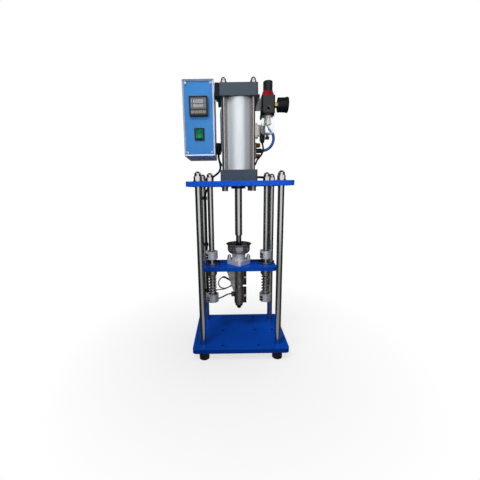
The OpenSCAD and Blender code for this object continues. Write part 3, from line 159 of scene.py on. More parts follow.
class Finish(Nodes):
    """One material: the shader's fixed numbers, and what varies over the surface."""

    def __init__(self, name, fixed=None):
        self.material = bpy.data.materials.new(name)
        self.material.use_nodes = True
        super().__init__(self.material.node_tree)
        self.shader = self.tree.nodes["Principled BSDF"]
        for socket, level in (fixed or {}).items():
            self.shader.inputs[socket].default_value = level
        self.place = self.node("TexCoord", out="Object")
        self.facing = self.node("NewGeometry", out="Normal")

    def feed(self, socket, value):
        self.plug(self.shader.inputs[socket], value)

    def along(self, axis):
        return self.node("SeparateXYZ", {}, {"Vector": self.place}, axis)

    def cloud(self, size, detail=3.0, lay=(1, 1, 1)):
        """Soft patches about size across, from 0 to 1.

        A small number in lay draws them out along that axis.
        """
        scaled = self.node("VectorMath", {"operation": "MULTIPLY"},
                           {0: self.place, 1: [k / size for k in lay]})
        return self.node("TexNoise", {}, {"Vector": scaled, "Scale": 1.0, "Detail": detail,
                                          "Roughness": 0.55})

    def level(self, value, low, high, to_low=0.0, to_high=1.0):
        return self.node("MapRange", {}, {"Value": value, "From Min": low, "From Max": high,
                                          "To Min": to_low, "To Max": to_high})

    def mixed(self, share, first, second):
        return self.node("Mix", {"data_type": "RGBA"}, {0: share, 6: first, 7: second}, 2)

    def rounded(self, radius):
        """The surface's direction, with sharp edges eased over as on a real piece."""
        return self.node("Bevel", {"samples": 4}, {"Radius": radius})

    def edges(self, radius):
        """1 along sharp edges, and 0 on the faces between them."""
        eased = self.node("VectorMath", {"operation": "DOT_PRODUCT"},
                          {0: self.rounded(radius), 1: self.facing}, "Value")
        return self.level(1 - eased, 0.02, 0.22)

    def raised(self, height, depth, under=None):
        """The surface's direction with a fine relief, laid over another direction where one is given."""
        sockets = {"Strength": 1.0, "Distance": depth, "Height": height}
        if under is not None:
            sockets["Normal"] = under
        return self.node("Bump", {}, sockets)


# Finishes

PAINT_EDGE = 0.0009
MOULD_EDGE = 0.0005


def enamel(name, colour, shade, bright, gloss, peel=0.00003, sheen=0.2):
    """Sprayed paint: cloudy colour, orange peel, and a painted highlight along its edges, which are mixed
    toward a brighter tone.
    """
    f = Finish(name, {"Specular IOR Level": sheen})
    scuff = f.level(f.cloud(0.012, 7), 0.60, 0.72)
    body = f.mixed(f.cloud(0.07, 2), tint(colour), tint(shade))
    # Sharp edges are mixed toward the brighter tone as a painted highlight; the scuffs are wear.
    f.feed("Base Color", f.mixed(f.edges(PAINT_EDGE) * 0.45 + scuff * 0.10, body, tint(bright)))
    f.feed("Roughness", gloss + f.cloud(0.02) * 0.12 + scuff * 0.14)
    f.feed("Normal", f.raised(f.cloud(0.0017, 2), peel, f.rounded(PAINT_EDGE)))
    return f.material


def machined(name, colour, shade, rough, lay=(1, 1, 1), cut=0.0007, depth=0.0000004, edge=0.0004,
             stain=0.3, metal=1.0):
    """Bare metal with the fine lines that its tool left, and light handling stains.

    Cast and anodised skins are less metallic.
    """
    f = Finish(name, {"Metallic": metal})
    lines = f.cloud(cut, 3, lay)
    patch = f.level(f.cloud(0.03, 3), 0.35, 0.75)
    f.feed("Base Color", f.mixed(patch * stain + lines * 0.15, tint(colour), tint(shade)))
    f.feed("Roughness", rough + lines * 0.05 + patch * stain * 0.15)
    f.feed("Normal", f.raised(lines, depth, f.rounded(edge)))
    return f.material


def moulded(name, colour, shade, rough, skin=0.0007, depth=0.00002, sheen=0.3):
    """Moulded plastic or rubber: an even matt skin that polishes up where it is handled."""
    f = Finish(name, {"Specular IOR Level": sheen})
    patch = f.cloud(0.015, 4)
    # Sharp edges are mixed a quarter of the way toward the second tone: a painted edge highlight on the
    # dark plastics, and painted edge shade on the pale ones.
    f.feed("Base Color", f.mixed(f.edges(MOULD_EDGE) * 0.25 + patch * 0.5, tint(colour), tint(shade)))
    f.feed("Roughness", rough + f.level(patch, 0.35, 0.7, -0.06, 0.10))
    f.feed("Normal", f.raised(f.cloud(skin, 2), depth, f.rounded(MOULD_EDGE)))
    return f.material


def clear(name, colour, shade):
    """Clear moulded plastic with faint flow marks."""
    f = Finish(name, {"Transmission Weight": 0.94, "IOR": 1.49})
    flow = f.cloud(0.008, 3, (1, 1, 0.3))
    f.feed("Base Color", f.mixed(flow, tint(colour), tint(shade)))
    f.feed("Roughness", 0.04 + flow * 0.05)
    f.feed("Normal", f.raised(f.cloud(0.004, 2), 0.00002))
    return f.material


def braided(name, colour, shade):
    """Glass-fibre sleeve over a heater lead."""
    strand = 0.0009
    f = Finish(name, {"Specular IOR Level": 0.3})
    wale = f.node("TexWave", {"bands_direction": "DIAGONAL"},
                  {"Vector": f.place, "Scale": 0.35 / strand, "Distortion": 1.5, "Detail": 2.0}, "Fac")
    dirt = f.cloud(0.012, 4)
    f.feed("Base Color", f.mixed(wale * 0.5 + dirt * 0.4, tint(colour), tint(shade)))
    f.feed("Roughness", 0.62 + wale * 0.2)
    f.feed("Normal", f.raised(wale, 0.00018))
    return f.material


def heater_skin(name):
    """Steel jacket with heat tint, and blackened clamp ears with bright screws on its right.

    On its left are the upper band's pale terminal cover and the lower band's dark terminal block.
    """
    jacket_right, jacket_left = 0.0137, -0.0136
    screw_front, cover_foot = -0.00415, 0.124
    f = Finish(name)
    across = f.along("X")
    ear = across > jacket_right
    screw = ear * (f.along("Y") < screw_front)
    cover = (across < jacket_left) * (f.along("Z") > cover_foot)
    block = (across < jacket_left) * (f.along("Z") < cover_foot)
    heat = f.level(f.cloud(0.014, 5), 0.35, 0.7)
    lines = f.cloud(0.0008, 3, (1, 1, 0.06))
    steel = f.mixed(heat, tint("8F8884"), tint("655C57"))
    steel = f.mixed(ear, steel, tint("151414"))
    steel = f.mixed(cover, steel, f.mixed(heat, tint("C4C0C2"), tint("A29DA0")))
    steel = f.mixed(block, steel, tint("2B2A29"))
    steel = f.mixed(screw, steel, tint("C9C6C2"))
    # Sharp edges are mixed toward light grey as a painted highlight.
    f.feed("Base Color", f.mixed(f.edges(0.0005) * 0.3, steel, tint("A8A8A8")))
    f.feed("Metallic", 0.85 - block * 0.8 - ear * 0.3 - cover * 0.5)
    f.feed("Roughness", 0.30 + lines * 0.12 + heat * 0.12 + block * 0.2)
    f.feed("Normal", f.raised(lines, 0.000006, f.rounded(0.0005)))
    return f.material


def fitting_bronze(name):
    """Brass of the gauge stem on the right, and the darker sintered bronze of the valve's silencers."""
    stem_left = 0.09
    f = Finish(name, {"Metallic": 1.0})
    grain = f.cloud(0.0009, 3)
    sintered = f.along("X") < stem_left
    bright = f.mixed(grain, tint("E2CB86"), tint("BE9F55"))
    f.feed("Base Color", f.mixed(sintered, bright, f.mixed(grain, tint("94703F"), tint("5E4428"))))
    f.feed("Roughness", 0.22 + sintered * 0.28 + grain * 0.08)
    f.feed("Normal", f.raised(grain * sintered, 0.00005, f.rounded(0.0004)))
    return f.material


def bracket_paint(name):
    """Grey brackets, with the bar that lies against the cylinder's cap coloured near-black."""
    bar_right, bar_foot = 0.0512, 0.62
    f = Finish(name, {"Coat Weight": 0.1, "Coat Roughness": 0.1})
    bar = (f.along("X") < bar_right) * (f.along("Z") > bar_foot)
    cloudy = f.cloud(0.03)
    grey = f.mixed(cloudy, tint("70767E"), tint("5E646B"))
    # Sharp edges of the grey are mixed toward a lighter grey as a painted highlight.
    f.feed("Base Color", f.mixed(bar, f.mixed(f.edges(0.0006) * 0.5, grey, tint("A4AAB0")), tint("121417")))
    f.feed("Roughness", 0.34 + cloudy * 0.12)
    f.feed("Normal", f.raised(f.cloud(0.0017, 2), 0.00003, f.rounded(0.0006)))
    return f.material


TURNED = (0.03, 0.03, 1)
DRAWN = (1, 1, 0.02)

blue_enamel = enamel("blue_enamel", "0455CC", "0346B6", "1F80F4", gloss=0.28, sheen=0.10)
slate_enamel = enamel("slate_enamel", "3F4A53", "353F47", "66737D", gloss=0.44, peel=0.00004, sheen=0.15)
box_enamel = enamel("box_enamel", "B4C2D6", "A6B4C8", "D2DCEA", gloss=0.40, peel=0.00005)
panel_enamel = enamel("panel_enamel", "3A78B4", "336EAA", "6FA2D2", gloss=0.46, peel=0.00005, sheen=0.15)
black_enamel = enamel("black_enamel", "0C1013", "07090B", "2C3034", gloss=0.30, sheen=0.2)
bracket_enamel = bracket_paint("bracket_enamel")
chrome = machined("chrome", "C2C4C5", "B0B0AF", 0.09, TURNED, stain=0.15)
tie_steel = machined("tie_steel", "B5B0A9", "96918A", 0.24, DRAWN, stain=0.2)
bright_nickel = machined("bright_nickel", "E2DCD5", "BDB6AE", 0.10, edge=0.0006)
zinc_plate = machined("zinc_plate", "A29A8E", "7A7066", 0.24, edge=0.0005, stain=0.5)
dull_zinc = machined("dull_zinc", "CBD6E2", "B4BFCB", 0.42, edge=0.0004, metal=0.3)
satin_aluminium = machined("satin_aluminium", "C2C4C8", "A9ABB0", 0.34, TURNED, depth=0.000002,
                           edge=0.0006)
cast_aluminium = machined("cast_aluminium", "DCE0E4", "C6CACE", 0.38, cut=0.0011, depth=0.00001,
                          edge=0.0008, metal=0.45)
tube_aluminium = machined("tube_aluminium", "CBD0D4", "C1C6CA", 0.30, DRAWN, stain=0.12, metal=0.55)
turned_steel = machined("turned_steel", "A3A5A7", "86868A", 0.20, TURNED, depth=0.000002)
spring_wire = machined("spring_wire", "B4B2B0", "7E7C7A", 0.22, stain=0.4, metal=0.7)
plunger_steel = machined("plunger_steel", "7B7D80", "5A5856", 0.16, TURNED, stain=0.5)
hopper_steel = machined("hopper_steel", "B4B0AC", "7C746C", 0.15, TURNED, stain=0.6, edge=0.0003, metal=0.9)
black_oxide = machined("black_oxide", "2C2C2E", "1A1A1B", 0.32, stain=0.6)
brass = machined("brass", "C39A45", "8F6C2A", 0.22, stain=0.6)
valve_bronze = fitting_bronze("valve_bronze")
nozzle_steel = machined("nozzle_steel", "2B2928", "191716", 0.34, TURNED, stain=0.8)
foot_rubber = moulded("foot_rubber", "0D0D0D", "1B1B1A", rough=0.66, depth=0.00006)
black_nylon = moulded("black_nylon", "0B0C0D", "232527", rough=0.36)
black_gloss = moulded("black_gloss", "0C0E10", "1F2224", rough=0.15, depth=0.00004, skin=0.006, sheen=0.5)
grey_nylon = moulded("grey_nylon", "2E3234", "3A3E40", rough=0.50, sheen=0.15)
key_grey = moulded("key_grey", "867F78", "766F69", rough=0.48)
red_nylon = moulded("red_nylon", "740810", "56050A", rough=0.34, sheen=0.1)
green_rocker = moulded("green_rocker", "066A3C", "0C7E4C", rough=0.24, depth=0.000006, sheen=0.15)
coil_resin = moulded("coil_resin", "EFE8DC", "E2DACC", rough=0.50)
filter_bronze = moulded("filter_bronze", "E0D3B2", "C4B488", rough=0.75, skin=0.0006, depth=0.00012)
cable_jacket = moulded("cable_jacket", "0E0E0F", "242425", rough=0.46, skin=0.003)
# The top air line's blue is darkened nearly to black as painted shade, where it runs down behind the
# cylinder.
line_blue_painted_shade = moulded("line_blue_painted_shade", "050C1A", "0B1830", rough=0.30, skin=0.004)
hose_blue = moulded("hose_blue", "1F5C9C", "2C6EB0", rough=0.24, skin=0.004)
lead_sleeve = braided("lead_sleeve", "97938F", "5F5B58")
dark_sleeve = braided("dark_sleeve", "232222", "121111")
clear_bowl = clear("clear_bowl", "EEF3F6", "DDE6EC")
heater_jacket = heater_skin("heater_jacket")
dial_white = moulded("dial_white", "EDEDE8", "E2E1DA", rough=0.55, depth=0.000004)
mark_black = moulded("mark_black", "111111", "1C1C1C", rough=0.5)
mark_green = moulded("mark_green", "5FB583", "4DA572", rough=0.4)
display_grey = moulded("display_grey", "55575B", "606266", rough=0.16, depth=0.000003)
digit_grey = moulded("digit_grey", "B8C4C6", "A8B4B7", rough=0.35, depth=0.000003)
strip_grey = moulded("strip_grey", "544E49", "4A4540", rough=0.52)

node_finishes = {
    blue_enamel: ["base_plate", "top_plate", "carriage_plate"],
    slate_enamel: ["bottom_cap", "top_cap"],
    box_enamel: ["control_box"],
    panel_enamel: ["front_panel"],
    black_enamel: ["gauge_case", "box_bracket", "gauge_needle"],
    black_gloss: ["regulator_body", "regulator_knob"],
    bracket_enamel: ["side_brackets"],
    chrome: ["frame_columns", "guide_rods", "piston_rod"],
    bright_nickel: ["dome_nuts", "flange_nuts"],
    dull_zinc: ["panel_screws"],
    zinc_plate: ["frame_screws"],
    satin_aluminium: ["valve_body", "piston"],
    cast_aluminium: ["barrel_flange", "stop_collars"],
    tube_aluminium: ["cylinder_tube"],
    tie_steel: ["tie_rods"],
    turned_steel: ["guide_bushings", "barrel"],
    plunger_steel: ["plunger"],
    hopper_steel: ["hopper"],
    black_oxide: ["collar_screws", "bushing_screws"],
    valve_bronze: ["brass_fittings"],
    brass: ["adjusting_spindle"],
    nozzle_steel: ["nozzle"],
    foot_rubber: ["rubber_feet"],
    black_nylon: ["rod_gland", "air_fittings", "controller_case", "switch_frame", "cable_glands",
                  "cable_clips", "drain_cock"],
    grey_nylon: ["coil_plug"],
    key_grey: ["button_1", "button_2", "button_3", "button_4"],
    red_nylon: ["lock_ring"],
    green_rocker: ["switch_rocker"],
    coil_resin: ["solenoid_coil"],
    filter_bronze: ["filter_element"],
    clear_bowl: ["filter_bowl"],
    heater_jacket: ["heater_bands"],
    cable_jacket: ["air_lines", "coil_cable", "heater_cable"],
    hose_blue: ["supply_hose"],
    lead_sleeve: ["heater_leads"],
    spring_wire: ["return_springs"],
}
for material, names in node_finishes.items():
    for name in names:
        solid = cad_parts[name]
        solid.data.materials.clear()
        solid.data.materials.append(material)


# Shapes

LEFT, RIGHT = (-1, 0, 0), (1, 0, 0)
FRONT, BACK = (0, -1, 0), (0, 1, 0)
DOWN, UP = (0, 0, -1), (0, 0, 1)
NEARLY_ALONG = 0.98
CORNER_STEPS = 4
SMOOTH_BELOW = math.radians(35)
FIGURE_THICK = 0.1


def facing_frame(at, facing, up=UP):
    """Where a piece sits: its own Z points along facing, and its own Y as nearly along up as it can."""
    out = Vector(facing).normalized()
    upward = Vector(up)
    if abs(out.dot(upward.normalized())) > NEARLY_ALONG:
        upward = Vector(BACK)
    right = upward.cross(out).normalized()
    turn = Matrix((right, out.cross(right), out)).transposed().to_4x4()
    return Matrix.Translation(Vector(at) * MM) @ turn


def bridge(shape, low, high):
    """Faces between two rings of points, either of which may be a single point."""
    n = max(len(low), len(high))
    for i in range(n):
        j = (i + 1) % n
        if len(low) == 1:
            shape.faces.new((low[0], high[j], high[i]))
        elif len(high) == 1:
            shape.faces.new((low[i], low[j], high[0]))
        else:
            shape.faces.new((low[i], low[j], high[j], high[i]))


def turned(shape, at, facing, outline, sides=40, spokes=None):
    """A piece from the lathe. Its outline is radius and height, from foot to top, in millimetres.

    An outline that ends where it starts makes a ring. spokes varies the radius round the piece.
    """
    place = facing_frame(at, facing)
    rings = []
    for radius, height in outline:
        if radius == 0:
            rings.append([shape.verts.new(place @ Vector((0, 0, height * MM)))])
            continue
        ring = []
        for k in range(sides):
            angle = 2 * math.pi * k / sides
            reach = (radius + (spokes(k) if spokes else 0)) * MM
            point = Vector((reach * math.cos(angle), reach * math.sin(angle), height * MM))
            ring.append(shape.verts.new(place @ point))
        rings.append(ring)
    for low, high in zip(rings, rings[1:]):
        bridge(shape, low, high)
    capped = outline[0] != outline[-1]
    if capped and len(rings[0]) > 1:
        shape.faces.new(list(reversed(rings[0])))
    if capped and len(rings[-1]) > 1:
        shape.faces.new(rings[-1])


def hoop(inner, outer, low, high):
    """The lathe outline of a plain ring."""
    return (inner, low), (outer, low), (outer, high), (inner, high), (inner, low)


def plate(shape, at, facing, outline, thick, ease, up=UP):
    """A flat piece of that outline, in millimetres, with its front edge eased over."""
    place = facing_frame(at, facing, up)
    centre = Vector((sum(p[0] for p in outline), sum(p[1] for p in outline))) / len(outline)
    rings = []
    for height, inset in ((0, 0), (thick - ease, 0), (thick, ease)):
        ring = []
        for p in outline:
            away = Vector(p) - centre
            p = centre + away * max(0.0, 1 - inset / max(away.length, 1e-6))
            ring.append(shape.verts.new(place @ Vector((p.x * MM, p.y * MM, height * MM))))
        rings.append(ring)
    for low, high in zip(rings, rings[1:]):
        bridge(shape, low, high)
    shape.faces.new(list(reversed(rings[0])))
    shape.faces.new(rings[-1])


def oblong(w, h, r=0.0):
    """A rectangle's outline, with rounded corners where r is given, in millimetres."""
    if r == 0:
        return [(sx * w / 2, sy * h / 2) for sx, sy in ((-1, -1), (1, -1), (1, 1), (-1, 1))]
    points = []
    for quarter, (sx, sy) in enumerate(((1, 1), (-1, 1), (-1, -1), (1, -1))):
        for k in range(CORNER_STEPS + 1):
            a = math.pi / 2 * (quarter + k / CORNER_STEPS)
            points.append((sx * (w / 2 - r) + r * math.cos(a), sy * (h / 2 - r) + r * math.sin(a)))
    return points


def hexagon(flats):
    reach = flats / math.sqrt(3)
    return [(reach * math.cos(math.pi / 3 * k), reach * math.sin(math.pi / 3 * k)) for k in range(6)]


def swept(shape, path, radius, sides=14):
    """A round bar along a path, in metres."""
    last = len(path) - 1
    heading = [(path[min(i + 1, last)] - path[max(i - 1, 0)]).normalized() for i in range(last + 1)]
    side = heading[0].orthogonal().normalized()
    angles = [2 * math.pi * k / sides for k in range(sides)]
    rings = []
    for p, ahead in zip(path, heading):
        side = (side - ahead * side.dot(ahead)).normalized()
        other = ahead.cross(side)
        rings.append([shape.verts.new(p + radius * (side * math.cos(a) + other * math.sin(a)))
                      for a in angles])
    for low, high in zip(rings, rings[1:]):
        bridge(shape, low, high)
    shape.faces.new(list(reversed(rings[0])))
    shape.faces.new(rings[-1])


def figures(shape, words, height, at, facing):
    """Plain figures that stand a little proud of a dial, in millimetres."""
    line = bpy.data.curves.new("figures", "FONT")
    line.body = words
    line.size = height * MM
    line.extrude = FIGURE_THICK * MM / 2
    line.align_x = "CENTER"
    line.align_y = "CENTER"
    holder = bpy.data.objects.new("figures", line)
    mesh = bpy.data.meshes.new_from_object(holder)
    mesh.transform(facing_frame(at, facing))
    shape.from_mesh(mesh)
    bpy.data.objects.remove(holder)
    bpy.data.meshes.remove(mesh)
    bpy.data.curves.remove(line)


def add_piece(name, shape, material, body):
    """Puts a made shape into the scene as a piece. It rides on a body, or on none where it bends."""
    mesh = bpy.data.meshes.new(name)
    bmesh.ops.recalc_face_normals(shape, faces=shape.faces)
    shape.to_mesh(mesh)
    shape.free()
    mesh.materials.append(material)
    for face in mesh.polygons:
        face.use_smooth = True
    mesh.set_sharp_from_angle(angle=SMOOTH_BELOW)
    piece = bpy.data.objects.new(name, mesh)
    scene.collection.objects.link(piece)
    if body:
        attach(piece, body)
    return piece


# Cords

HOSE_DIAMETER = 8
LINE_DIAMETER = 6
COIL_CABLE_DIAMETER = 5
HEATER_CABLE_DIAMETER = 6
SENSOR_LEAD_DIAMETER = 3.5


def smooth_route(points, steps=3):
    """The same curve through the points as the solids follow: straight at both ends, smooth between."""
    p = [Vector(q) * MM for q in points]
    last = len(p) - 1
    path = []
    for i in range(last):
        a, b, c, d = p[max(i - 1, 0)], p[i], p[i + 1], p[min(i + 2, last)]
        for k in range(steps):
            t = k / steps
            if i in (0, last - 1):
                path.append(b + (c - b) * t)
            else:
                path.append(0.5 * (2 * b + (c - a) * t + (2 * a - 5 * b + 4 * c - d) * t * t
                                   + (3 * b - a - 3 * c + d) * t * t * t))
    return path + [p[last]]


def length_of(path):
    return sum((b - a).length for a, b in zip(path, path[1:]))


def lay_cord(name, points, diameter, material, body, node, steps=3):
    """A cord along its route, in place of the plain solid that stands for it."""
    path = smooth_route(points, steps)
    shape = bmesh.new()
    swept(shape, path, diameter / 2 * MM)
    cord = add_piece(name, shape, material, body)
    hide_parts(node)
    length_of(path)
    return cord


supply_route = [
    (82.5, 71, 611), (82.5, 71, 609), (84.5, 71, 600), (89.5, 72, 590.5), (93, 71.5, 585),
    (101, 71, 575), (105, 71, 564), (105, 71, 552.5), (101, 70.5, 541.5), (93.5, 70, 532.5),
    (83.5, 69.5, 527), (72, 70, 525), (70, 70, 525)]
top_line_route = [
    (-16, 60, 651.5), (-18, 60, 651.5), (-28, 60, 649.5), (-36.5, 60, 644), (-42, 60, 635.5),
    (-44, 60, 625.5), (-44, 60, 600), (-44, 60, 575), (-44, 60, 550), (-44, 60, 533),
    (-42.5, 61.5, 523.5), (-37, 64.5, 515), (-28.5, 68, 509), (-18, 70, 507), (-2, 70, 507)]
bottom_line_route = [
    (16, 60, 450.5), (36, 60, 450.5), (52, 60, 450.5), (66.5, 64, 450.5), (77, 74.5, 450.5),
    (81, 89, 450.5), (77, 103.5, 451), (66.5, 114, 452), (52, 118.5, 455.5), (37.5, 120.5, 464),
    (24, 122, 478), (12, 123, 495), (-1, 124, 512), (-16, 124, 526), (-30, 120.5, 534),
    (-40.5, 110.5, 537), (-44, 97, 537), (-40.5, 83.5, 537), (-30.5, 73.5, 537), (-17, 70, 537),
    (-2, 70, 537)]
coil_cable_route = [
    (73, 70, 553), (73, 70, 546), (74, 65, 538), (75, 61, 528), (71, 59, 516), (65, 59, 507),
    (58, 61, 499), (55, 69, 492), (54, 79, 488), (50, 88, 485), (41, 93, 481), (30, 95, 478),
    (16, 96, 475), (-2, 97, 473), (-19, 98, 474), (-35, 100, 480), (-47, 103, 492),
    (-54, 105, 508), (-54, 105, 520.5)]
heater_cable_route = [
    (-54, 70, 520.5), (-54, 70, 508), (-51, 70, 495), (-49, 69, 483), (-51, 67, 471),
    (-58, 64, 462), (-69, 61, 454), (-78, 59, 445), (-82, 58, 434), (-84.5, 58, 424.5),
    (-89.5, 59, 416), (-93.5, 60, 407.5), (-95, 60, 400), (-95, 60, 396), (-95, 60, 386),
    (-95, 60, 340), (-95, 60, 300), (-95, 60, 260), (-95, 60, 220), (-95, 60, 180),
    (-95, 60, 140), (-95, 60, 96)]
sensor_route = [
    (-25, 0, 157), (-34, 2, 162), (-44, 4, 166), (-54, 6, 160), (-60, 8, 147), (-56, 7, 135),
    (-45, 4, 131), (-35, 1, 134), (-27, 0, 138), (-19, 0, 140), (-11.2, 0, 140)]
upper_lead_route = [
    (-93, 60.5, 95.5), (-91.5, 59, 88), (-86, 54, 86), (-79, 46, 94), (-73, 36, 107),
    (-67, 26, 117), (-60, 20, 121), (-52, 16, 123), (-43, 12, 126), (-33, 10, 131),
    (-25, 8, 137), (-20, 6, 145)]
lower_lead_route = [
    (-97, 59.5, 95.5), (-96, 58, 85), (-91, 53, 77), (-82, 44, 75), (-72, 34, 80), (-63, 26, 89),
    (-54, 19, 96), (-46, 13, 102), (-38, 7, 109), (-30, 2, 114), (-22, 0, 116)]

lay_cord("blue_supply_hose", supply_route, HOSE_DIAMETER, hose_blue, "frame", "supply_hose")
lay_cord("top_air_line", top_line_route, LINE_DIAMETER, line_blue_painted_shade, "frame", "air_lines")
lay_cord("bottom_air_line", bottom_line_route, LINE_DIAMETER, cable_jacket, "frame",
         "air_lines")
lay_cord("valve_coil_cable", coil_cable_route, COIL_CABLE_DIAMETER, cable_jacket, "frame",
         "coil_cable")
lay_cord("heater_cable_run", heater_cable_route, HEATER_CABLE_DIAMETER, cable_jacket,
         "frame", "heater_cable", steps=2)
lay_cord("sensor_lead", sensor_route, SENSOR_LEAD_DIAMETER, lead_sleeve, "carriage",
         "heater_leads")
for name, route, diameter, sleeve in (("upper_band_lead", upper_lead_route, 3, lead_sleeve),
                                      ("lower_band_lead", lower_lead_route, 4, dark_sleeve)):
    lead = lay_cord(name, route, diameter, sleeve, None, "heater_leads")
    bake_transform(lead)


# Return springs

SPRING_X = 77
SPRING_WIRE = 3.0
SPRING_ACROSS = 24
SPRING_TALL = 60.9
SPRING_SEAT = 112.75
END_TURN_GAP = 0.7
OPEN_TURNS = 6
TURN_STEPS = 24


def spring_path(x):
    """One close turn at each end and open turns between them, as in the solids."""
    close = SPRING_WIRE + END_TURN_GAP
    pitch = (SPRING_TALL - 2 * close) / OPEN_TURNS
    radius = (SPRING_ACROSS - SPRING_WIRE) / 2
    path = []
    for i in range((OPEN_TURNS + 2) * TURN_STEPS + 1):
        t = i / TURN_STEPS
        angle = 2 * math.pi * t
        rise = t * close if t < 1 else close + (t - 1) * pitch
        if t > 1 + OPEN_TURNS:
            rise = SPRING_TALL - (2 + OPEN_TURNS - t) * close
        path.append(Vector((x + radius * math.cos(angle), radius * math.sin(angle),
                            SPRING_SEAT + SPRING_WIRE / 2 + rise)) * MM)
    return path


for name, x in (("left_return_spring", -SPRING_X), ("right_return_spring", SPRING_X)):
    shape = bmesh.new()
    swept(shape, spring_path(x), SPRING_WIRE / 2 * MM, sides=12)
    spring = add_piece(name, shape, spring_wire, None)
    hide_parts("return_springs")
    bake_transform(spring)


# Air fittings

REGULATOR_X, REGULATOR_Y, PORT_Z = 82.5, 40, 627
VALVE_Y = 70
CAP_BACK = 47
TOP_CAP_Z, BOTTOM_CAP_Z = 651.5, 450.5
FITTING_FLATS = 14


def fitting_details():
    """Hexes at the threads and release rings where the tubes go in."""
    hexes, releases = bmesh.new(), bmesh.new()
    for at, facing in (((52, VALVE_Y, 525), RIGHT), ((16, VALVE_Y, 537), LEFT), ((16, VALVE_Y, 507), LEFT),
                       ((0, CAP_BACK, TOP_CAP_Z), BACK), ((0, CAP_BACK, BOTTOM_CAP_Z), BACK),
                       ((REGULATOR_X, 58, PORT_Z), BACK)):
        place = Vector(at) + Vector(facing) * 0.05
        plate(hexes, place, facing, hexagon(FITTING_FLATS), 4.5, 0.5)
    for route, tube in ((supply_route, HOSE_DIAMETER), (top_line_route, LINE_DIAMETER),
                        (bottom_line_route, LINE_DIAMETER)):
        inner = tube / 2 + 0.1
        outline = ((inner, 0), (inner + 0.9, 0), (inner + 0.9, 1.2), (inner + 1.6, 1.5),
                   (inner + 1.6, 2.3), (inner + 0.4, 2.6), (inner, 2.2), (inner, 0))
        for end, beside in ((route[0], route[1]), (route[-1], route[-2])):
            turned(releases, end, Vector(beside) - Vector(end), outline)
    add_piece("fitting_hexes", hexes, bright_nickel, "frame")
    add_piece("release_rings", releases, grey_nylon, "frame")


fitting_details()


# Pressure gauge

DIAL_MIDDLE = Vector((126.5, REGULATOR_Y, 639))
DIAL_FRONT = 0.5
SCALE_START, SCALE_SWEEP = 225, 270
SCALE_STEPS = 50
TICK_END = 14.8


def gauge_details():
    """Dial with its ticks and figures, the clear lens and the rolled bezel."""
    dial, ticks, lens, bezel = (bmesh.new() for _ in range(4))
    turned(dial, DIAL_MIDDLE, RIGHT, hoop(1.3, 15.8, 0.05, DIAL_FRONT), 64)
    for k in range(SCALE_STEPS + 1):
        turn = math.radians(SCALE_START - SCALE_SWEEP * k / SCALE_STEPS)
        out = Vector((0, math.cos(turn), math.sin(turn)))
        numbered = k % 10 == 0
        tick_start, wide = (11.4, 0.55) if numbered else (13.0, 0.3)
        plate(ticks, DIAL_MIDDLE + Vector((DIAL_FRONT, 0, 0)) + out * (tick_start + TICK_END) / 2, RIGHT,
              oblong(wide, TICK_END - tick_start), 0.08, 0.02, up=tuple(out))
        if numbered:
            figures(ticks, str(k // 5), 3.2, DIAL_MIDDLE + Vector((0.55, 0, 0)) + out * 9.0, RIGHT)
    turned(lens, DIAL_MIDDLE, RIGHT,
           ((0, 7.6), (15.9, 7.6), (15.9, 8.6), (11, 9.3), (6, 9.6), (0, 9.7)), 64)
    turned(bezel, DIAL_MIDDLE, RIGHT,
           ((16.0, 7.0), (16.0, 9.9), (16.7, 10.5), (18.1, 10.6), (19.3, 10.2), (19.8, 9.2),
            (19.8, 4.4), (19.4, 4.0), (19.4, 7.0), (16.0, 7.0)), 72)
    add_piece("gauge_dial", dial, dial_white, "frame")
    add_piece("gauge_ticks", ticks, mark_black, "frame")
    add_piece("gauge_lens", lens, clear_bowl, "frame")
    add_piece("gauge_bezel", bezel, black_enamel, "frame")


gauge_details()


# Temperature controller

BOX_X, BOX_Z = -102.5, 601.5
CONTROLLER_Z = 631.5
CASE_FRONT, WINDOW_FRONT, KEY_FRONT = 10.8, 10.4, 9.6
WINDOW_WIDE = 41
FIGURE_ROWS = ((11.2, 8.2), (0.4, 7.4))
FIGURE_PITCH, FIGURE_HALF, BAR_WIDE = 6.6, 2.2, 1.0
LAMP_X, LAMP_PITCH = 17.4, 4
KEY_PITCH = 10
KEY_DROP = -15
SEGMENTS = ((0, 1, True), (1, 0.5, False), (1, -0.5, False), (0, -1, True), (-1, -0.5, False),
            (-1, 0.5, False), (0, 0, True))


def on_controller(shape, across, y, rise, outline, thick, ease):
    """A flat piece on the controller's front, placed from the middle of that front."""
    plate(shape, (BOX_X + across, y, CONTROLLER_Z + rise), FRONT, outline, thick, ease)


